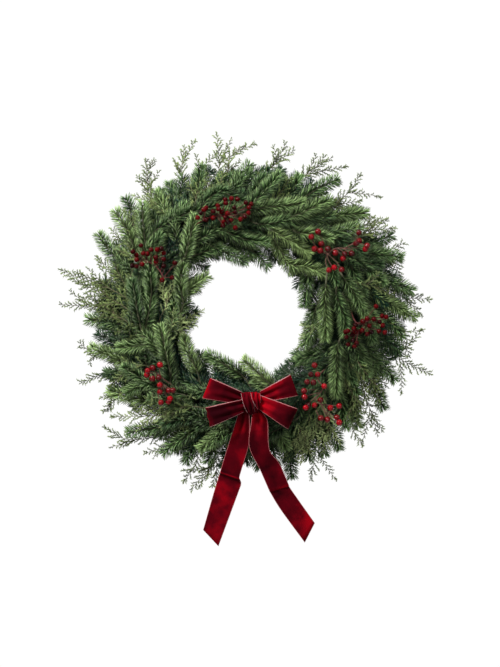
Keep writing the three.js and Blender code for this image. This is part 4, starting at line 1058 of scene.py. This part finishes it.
# Painted sheen and shade: the attribute, broken up by noise, runs the base colour from near black to bright
# red.
painted_sheen = velvet.node("ShaderNodeAttribute", attribute_name="painted_sheen").outputs["Fac"]
sheen_and_shade = velvet.math("ADD", painted_sheen, velvet.past(velvet.noise(30, 3.0), 0.5, 1.3), True)
reds = (0.0, (0.014, 0.0004, 0.0016)), (0.45, (0.08, 0.0006, 0.0035)), (1.0, (0.36, 0.0012, 0.006))
pile = velvet.noise(2600, 2.0)
darker = velvet.math("MULTIPLY", pile, 0.35)
velvet.color(velvet.mix(darker, velvet.ramp(sheen_and_shade, *reds), (0.02, 0.0, 0.002)))
velvet.bump(pile, 0.35, 0.0003)

satin = Finish("satin_edge", Roughness=0.32, Sheen_Weight=0.3, Specular_IOR_Level=0.6)
threads = {"Vector": satin.place(), "Scale": 420.0, "Distortion": 1.5}
weave = satin.node("ShaderNodeTexWave", threads).outputs["Fac"]
satin.color(satin.ramp(weave, (0.0, (0.22, 0.03, 0.035)), (1.0, (0.45, 0.13, 0.13))))
satin.bump(weave, 0.3, 0.0002)
print("ribbon:", velvet.material.name, "with", satin.material.name)

# %% [markdown]
# ## Ribbons of the bow
#
# The ribbon is 38 mm wide. Each strip starts as a flat grid of that true width, one thin column of faces at
# each edge for the satin. Its rows are then laid through space between the lines that both edges follow.
# Where the edges come closer than 38 mm, as beside the knot, the width that is left over goes into pleats,
# so the cloth is gathered and never squeezed. Solidify gives it a thickness.

# %% Lay a strip of ribbon

RIBBON_WIDTH = 0.038
THICKNESS = 0.0008
DEEPEST_PLEAT = 0.0042
ACROSS = np.array([0, 0.019, 0.1, 0.18, 0.26, 0.34, 0.42, 0.5, 0.58, 0.66, 0.74, 0.82, 0.9, 0.981, 1.0])


def velvet_with_painted_sheen(made, painted_sheens):
    # The attribute holds painted sheen and painted shade for the velvet's colour.
    layer = made.data.attributes.new("painted_sheen", "FLOAT", "POINT")
    layer.data.foreach_set("value", painted_sheens)
    made.data.materials.append(velvet.material)


def thicken(made, offset):
    made.data.shade_smooth()
    thick = made.modifiers.new("thick", "SOLIDIFY")
    thick.thickness = THICKNESS
    thick.offset = offset
    pick(made)
    bpy.ops.object.modifier_apply(modifier=thick.name)


def ribbon(name, left, right, painted_sheens, pleats, drift, held, node=None):
    """left and right are the lines of both edges, row for row; the list after them is the painted sheen and
    shade along the strip, 0 dark, 1 bright.
    """
    rows, columns = len(left), len(ACROSS)
    middle, width = (left + right) / 2, right - left
    clear_selection()
    bpy.ops.mesh.primitive_grid_add(x_subdivisions=columns - 1, y_subdivisions=rows - 1, size=1)
    made = fresh(name)
    wide = np.linalg.norm(width, axis=1)
    spare = np.sqrt(2 * np.maximum((RIBBON_WIDTH / wide) ** 2 - 1, 0))
    depth = np.minimum(wide * spare / (2 * math.pi * pleats), DEEPEST_PLEAT)
    run = np.linspace(0, 1, rows)
    wave = np.sin(2 * math.pi * pleats * ACROSS + drift + 2.2 * run[:, None])
    wave *= np.sin(math.pi * ACROSS) ** 0.5
    normal = unit(np.cross(unit(np.gradient(middle, axis=0)), width))
    place = left[:, None] + width[:, None] * ACROSS[:, None]
    place += normal[:, None] * (depth[:, None] * wave)[:, :, None]
    made.data.vertices.foreach_set("co", place.ravel())
    velvet_with_painted_sheen(made, np.repeat(np.interp(run, np.linspace(0, 1, len(painted_sheens)), painted_sheens), columns))
    made.data.materials.append(satin.material)
    edge = np.zeros((rows - 1, columns - 1), dtype=np.int32)
    edge[:, (0, -1)] = 1
    made.data.polygons.foreach_set("material_index", edge.ravel())
    made.data.update()
    thicken(made, 0)
    declare(made, node)
    length = length_of(middle)
    print(name, "cut", round(length * 1000), "mm long")


# %% Loops

BOW_FRONT = 98  # millimetres from the ring forward to the middle of the knot
LOOP_ENDS = 1.2  # beside the knot, the layers of a loop lie this far in front of its own depth and behind it
LOOP_PINCH = 0.35  # share of its full bow that a loop keeps there
LOOP_ROWS = 64
# Each loop: both edges beside the knot and at the fold, how far in front it lies, how far it bows out to the
# front and to the back, and its painted sheen and shade from the knot round the fold and back.
LOOPS = {
    "upper_left": (((-9, -148), (-9, -171)), ((-66, -122), (-81, -160)), 91, 12, 12,
                   [0.35, 0.2, 0.1, 0.35, 0.75, 0.8, 0.5, 0.3, 0.2]),
    "lower_left": (((-4, -161), (-4, -185)), ((-75, -177), (-66, -213)), 104, 15, 7,
                   [0.4, 0.3, 0.15, 0.1, 0.35, 0.5, 0.4, 0.3, 0.2]),
    "upper_right": (((27, -147), (27, -169)), ((83, -116), (97, -155)), 91, 12, 12,
                    [0.5, 0.75, 0.6, 0.35, 0.55, 0.6, 0.4, 0.3, 0.2]),
    "lower_right": (((24, -153), (24, -180)), ((96, -179), (78, -217)), 104, 15, 7,
                    [0.6, 0.75, 0.35, 0.12, 0.3, 0.55, 0.4, 0.3, 0.2]),
}


def loop_edges(knot, fold, middle, front, back):
    """Both edges of a loop, out from the knot in front and back to it behind."""
    rows = []
    for i in range(LOOP_ROWS + 1):
        a = 2 * math.pi * i / LOOP_ROWS
        out = (1 - math.cos(a)) / 2
        side, bow = (1, front) if i < LOOP_ROWS / 2 else (-1, back)
        depth = middle + side * LOOP_ENDS * (1 - out)
        depth += math.sin(a) * (LOOP_PINCH + (1 - LOOP_PINCH) * out) * bow
        rows.append([at(*(np.array(k) + (np.array(f) - k) * out), depth) for k, f in zip(knot, fold)])
    return np.array(rows).transpose(1, 0, 2)


for number, (side, (*shape, painted_sheens)) in enumerate(LOOPS.items()):
    ribbon(f"loop_{side}", *loop_edges(*shape), painted_sheens, 2.0, number, "folded", f"bow_loop_{side}")

# %% Tails: both edges with their depth, from the knot down, and the painted sheen and shade

TAILS = {
    "left": ([
        (-11, -183, 5, -185, 90), (-13.5, -187, 5.5, -189, 96), (-16, -195, 6.5, -197, 96),
        (-22, -214, 7, -217, 93), (-33, -248, 5, -249, 86), (-47, -293, -11, -304, 78),
        (-49, -300, -11, -313, 77), (-51, -307, -9, -322, 71), (-60, -336, -15, -340, 69),
        (-81, -410, -52, -441, 58)],
        [0.5, 0.95, 0.5, 0.4, 0.5, 0.6, 0.45, 0.55, 0.25, 0.95, 0.25, 0.5, 0.6, 0.5, 0.5]),
    "right": ([
        (14, -181, 29, -181, 90), (12.5, -186, 31, -186, 96), (11, -194, 36, -194, 96),
        (10, -206, 41, -206, 94), (6, -250, 44, -256, 88), (26, -294, 63, -283, 80),
        (43, -333, 80, -322, 73), (46, -339, 82, -328, 69), (66, -372, 100, -354, 66),
        (111, -434, 130, -397, 58)],
        [0.3, 0.6, 0.8, 0.85, 0.8, 0.5, 0.15, 0.12, 0.2, 0.3, 0.8, 0.1, 0.25, 0.55, 0.6]),
}


def edge_line(points):
    return smooth_line([at(*p) for p in points], 7)


for side, (stations, painted_sheens) in TAILS.items():
    left = edge_line([(x, z, front) for x, z, _, _, front in stations])
    right = edge_line([(x, z, front) for _, _, x, z, front in stations])
    ribbon(f"tail_{side}", left, right, painted_sheens, 1.5, 1.0, "hung", f"bow_tail_{side}")

# %% [markdown]
# ## The knot
#
# The knot is a length of the same ribbon wound round the middle and pulled tight, so it is gathered over
# its whole width and its satin edges run slantwise across the front. A rolled grid gives the wound body
# with its folds, and two narrow strips laid over it bring in those edges.

# %% Wind the knot

AROUND = 72  # faces round the knot
DOWN = 18  # and from its top to its foot
KNOT_DEPTH = 32
# Rows of the knot from its top: height, left and right edge, and its share of the full depth.
KNOT = np.array([
    (-148.5, -9.5, 27.5, 0.86), (-152, -9.5, 28.5, 1.0), (-162, -6.5, 28.5, 1.0), (-172, -3.5, 27, 0.97),
    (-182, 1, 23, 0.88), (-190, 4, 19, 0.68),
])


def boxy(t):
    """Widens a sine or cosine, so that the way round the knot is nearer to a box than a circle."""
    return math.copysign(abs(t) ** 0.7, t)


def knot_body():
    clear_selection()
    bpy.ops.mesh.primitive_grid_add(x_subdivisions=AROUND, y_subdivisions=DOWN, size=1)
    made = fresh("knot_body")
    z = np.linspace(KNOT[0, 0], KNOT[-1, 0], DOWN + 1)
    left, right, share = (np.interp(-z, -KNOT[:, 0], KNOT[:, k]) for k in (1, 2, 3))
    place, painted_sheens = [], []
    for j in range(DOWN + 1):
        v = j / DOWN
        tuck = 1 - 0.35 * (2 * v - 1) ** 8
        for i in range(AROUND + 1):
            a = 2 * math.pi * i / AROUND
            fold = 1 - 0.07 * (1 + math.sin(7 * a + 5.5 * v)) - 0.04 * (1 + math.sin(13 * a - 4 * v))
            x = (left[j] + right[j]) / 2 + (right[j] - left[j]) / 2 * fold * tuck * boxy(math.cos(a))
            front = BOW_FRONT + KNOT_DEPTH / 2 * share[j] * fold * tuck * boxy(math.sin(a))
            place.append(at(x, z[j], front))
            # Painted sheen and shade: darker towards the foot of the knot, in bands that run with its folds.
            painted_sheens.append(0.42 - 0.35 * v + 0.25 * math.sin(7 * a + 1.2 + 5.5 * v))
    made.data.vertices.foreach_set("co", np.array(place).ravel())
    velvet_with_painted_sheen(made, painted_sheens)
    made.data.update()
    bpy.ops.object.mode_set(mode="EDIT")
    bpy.ops.mesh.select_all(action="SELECT")
    bpy.ops.mesh.remove_doubles(threshold=1e-5)
    bpy.ops.mesh.normals_make_consistent(inside=False)
    bpy.ops.object.mode_set(mode="OBJECT")
    thicken(made, -1)
    return made


body = knot_body()
declare(body, "bow_knot")
print("knot", len(body.data.polygons), "faces")

# %% Lay the two strips over it

# Each strip: its left and right edge as x, z and front, and its painted sheen and shade.
STRIPS = {
    "left": ([(-9, -149.5, 108), (-7, -160, 114), (-3, -174, 113.4), (3, -187, 109)],
             [(11, -149.5, 109), (12, -160, 114.6), (15, -172, 114), (16, -184, 110)],
             [0.5, 0.45, 0.2, 0.0]),
    "right": ([(9, -149.5, 110), (11, -159, 116.5), (16, -170, 116), (22, -180, 112.5)],
              [(26, -149.5, 108.5), (27, -159, 115), (27, -169, 114), (24.5, -180, 111)],
              [0.75, 0.7, 0.4, 0.15]),
}
for side, (left, right, painted_sheens) in STRIPS.items():
    ribbon(f"knot_over_{side}", edge_line(left), edge_line(right), painted_sheens, 2.0, 0.8, "gathered")

# %% [markdown]
# ## Ring and wires
#
# At the back one sees what holds the wreath together: a ring of green enamelled wire, by which it hangs,
# and the long binding wire wound round the ring and over every stem. The bow is tied on with a wire too.

# %% Ring, binding wire and bow wire

RING_WIRE = 0.002  # radii of the three wires in metres
BINDING_WIRE = 0.00055
BOW_WIRE = 0.0009
WINDING = 8.6  # millimetres from the middle of the ring's own wire to the wire wound round it
WINDING_POINTS = 24  # of the line in one turn round the stems


def wire_ring():
    clear_selection()
    bpy.ops.mesh.primitive_torus_add(
        major_segments=120, minor_segments=10, major_radius=RING / 1000, minor_radius=RING_WIRE,
        location=(0, 0, -DROP), rotation=(math.pi / 2, 0, 0),
    )
    made = fresh("ring_wire")
    bpy.ops.object.transform_apply(location=True, rotation=True)
    made.data.materials.append(ring_green)
    made.data.shade_smooth()
    return made


def binding():
    """One turn to each slot, in front of its bound stems and behind between two slots."""
    half = SLOT_TURN / 2
    line = []
    for turn in np.linspace(0, 360 - half, int((SLOTS - 0.5) * WINDING_POINTS)):
        wind = math.radians((turn + half) * SLOTS)
        line.append(by_ring(turn, WINDING * math.sin(wind), WINDING * math.cos(wind)))
    return stems("wound_wire", [(np.array(line), BINDING_WIRE)], wire_green, 2)


def bow_tie():
    """From the knot back to the foot of the ring, and round it."""
    points = [
        at(9, -168, 82), at(7.2, -178, 50), at(2.7, -190, 16), at(0, -197.4, 2.6),
        at(0, -197.4, -2.6), at(0, -202.6, -2.6), at(0, -203.2, 1.3),
    ]
    return stems("tie_wire", [(smooth_line(points, 6), BOW_WIRE)], wire_green, 2)


declare(wire_ring(), "wire_ring")
declare(binding(), "binding_wire")
declare(bow_tie(), "bow_wire")

# %% [markdown]
# ## Studio
#
# The photograph shows the wreath straight from the front on pure white, in soft light with hardly any
# shadow. A wall behind it would hide its back from the other views, so the white comes from the world. It
# is white only behind the wreath and pale grey on the other sides, as in a studio with one lit backdrop, so
# that the lamps from the upper left can model the needles. The floor lies well below, as under a door.

# %% Floor

clear_selection()
bpy.ops.mesh.primitive_plane_add(size=2.4, location=(0, 0, -1.5))
floor = fresh("floor")
bpy.ops.object.transform_apply(location=True)
paint = Finish("floor_paint", Roughness=0.9)
paint.color(paint.ramp(paint.noise(30, 2.0), (0.3, (0.66, 0.66, 0.66)), (0.7, (0.7, 0.7, 0.7))))
floor.data.materials.append(paint.material)

# %% Lamps: place, what they point at, size and power

LAMPS = {
    "key": ((-1.5, -1.7, 1.6), (0, 0, -0.2), 0.6, 156),
    "fill": ((1.8, -2.2, 0.2), (0, 0, -0.25), 1.6, 27),
    "top": ((0.3, -0.5, 1.9), (0, 0, -0.2), 1.0, 14),
}
for name, (place, aim, size, power) in LAMPS.items():
    data = bpy.data.lights.new(name, "AREA")
    data.size = size
    data.energy = power
    lamp = linked(name, data)
    lamp.location = place
    lamp.rotation_euler = (Vector(aim) - Vector(place)).to_track_quat("-Z", "Y").to_euler()

# %% World

world = bpy.data.worlds.new("studio")
world.use_nodes = True
tree = world.node_tree
way = tree.nodes.new("ShaderNodeSeparateXYZ")
level = tree.nodes.new("ShaderNodeMapRange")
background = tree.nodes["Background"]
background.inputs["Color"].default_value = (1, 1, 1, 1)
for socket, value in (("From Min", 0.3), ("From Max", 0.7), ("To Min", 0.2), ("To Max", 1.02)):
    level.inputs[socket].default_value = value
tree.links.new(tree.nodes.new("ShaderNodeTexCoord").outputs["Generated"], way.inputs[0])
tree.links.new(way.outputs["Y"], level.inputs["Value"])
tree.links.new(level.outputs["Result"], background.inputs["Strength"])
scene = bpy.context.scene
scene.world = world
scene.view_settings.view_transform = "Standard"

# %% Camera

LENS_DISTANCE = 3.2  # from the lens to the middle of the foliage
SEEN_HEIGHT = 1.2673  # of the picture, there
camera = bpy.data.cameras.new("camera")
camera.sensor_width = 36
camera.lens = camera.sensor_width * LENS_DISTANCE / SEEN_HEIGHT
scene.camera = linked("camera", camera)
scene.camera.location = (0.0076, -0.04 - LENS_DISTANCE, -0.237)
scene.camera.rotation_euler = (math.pi / 2, 0, 0)
print("lens", round(camera.lens, 1), "mm,", len(LAMPS), "lamps")
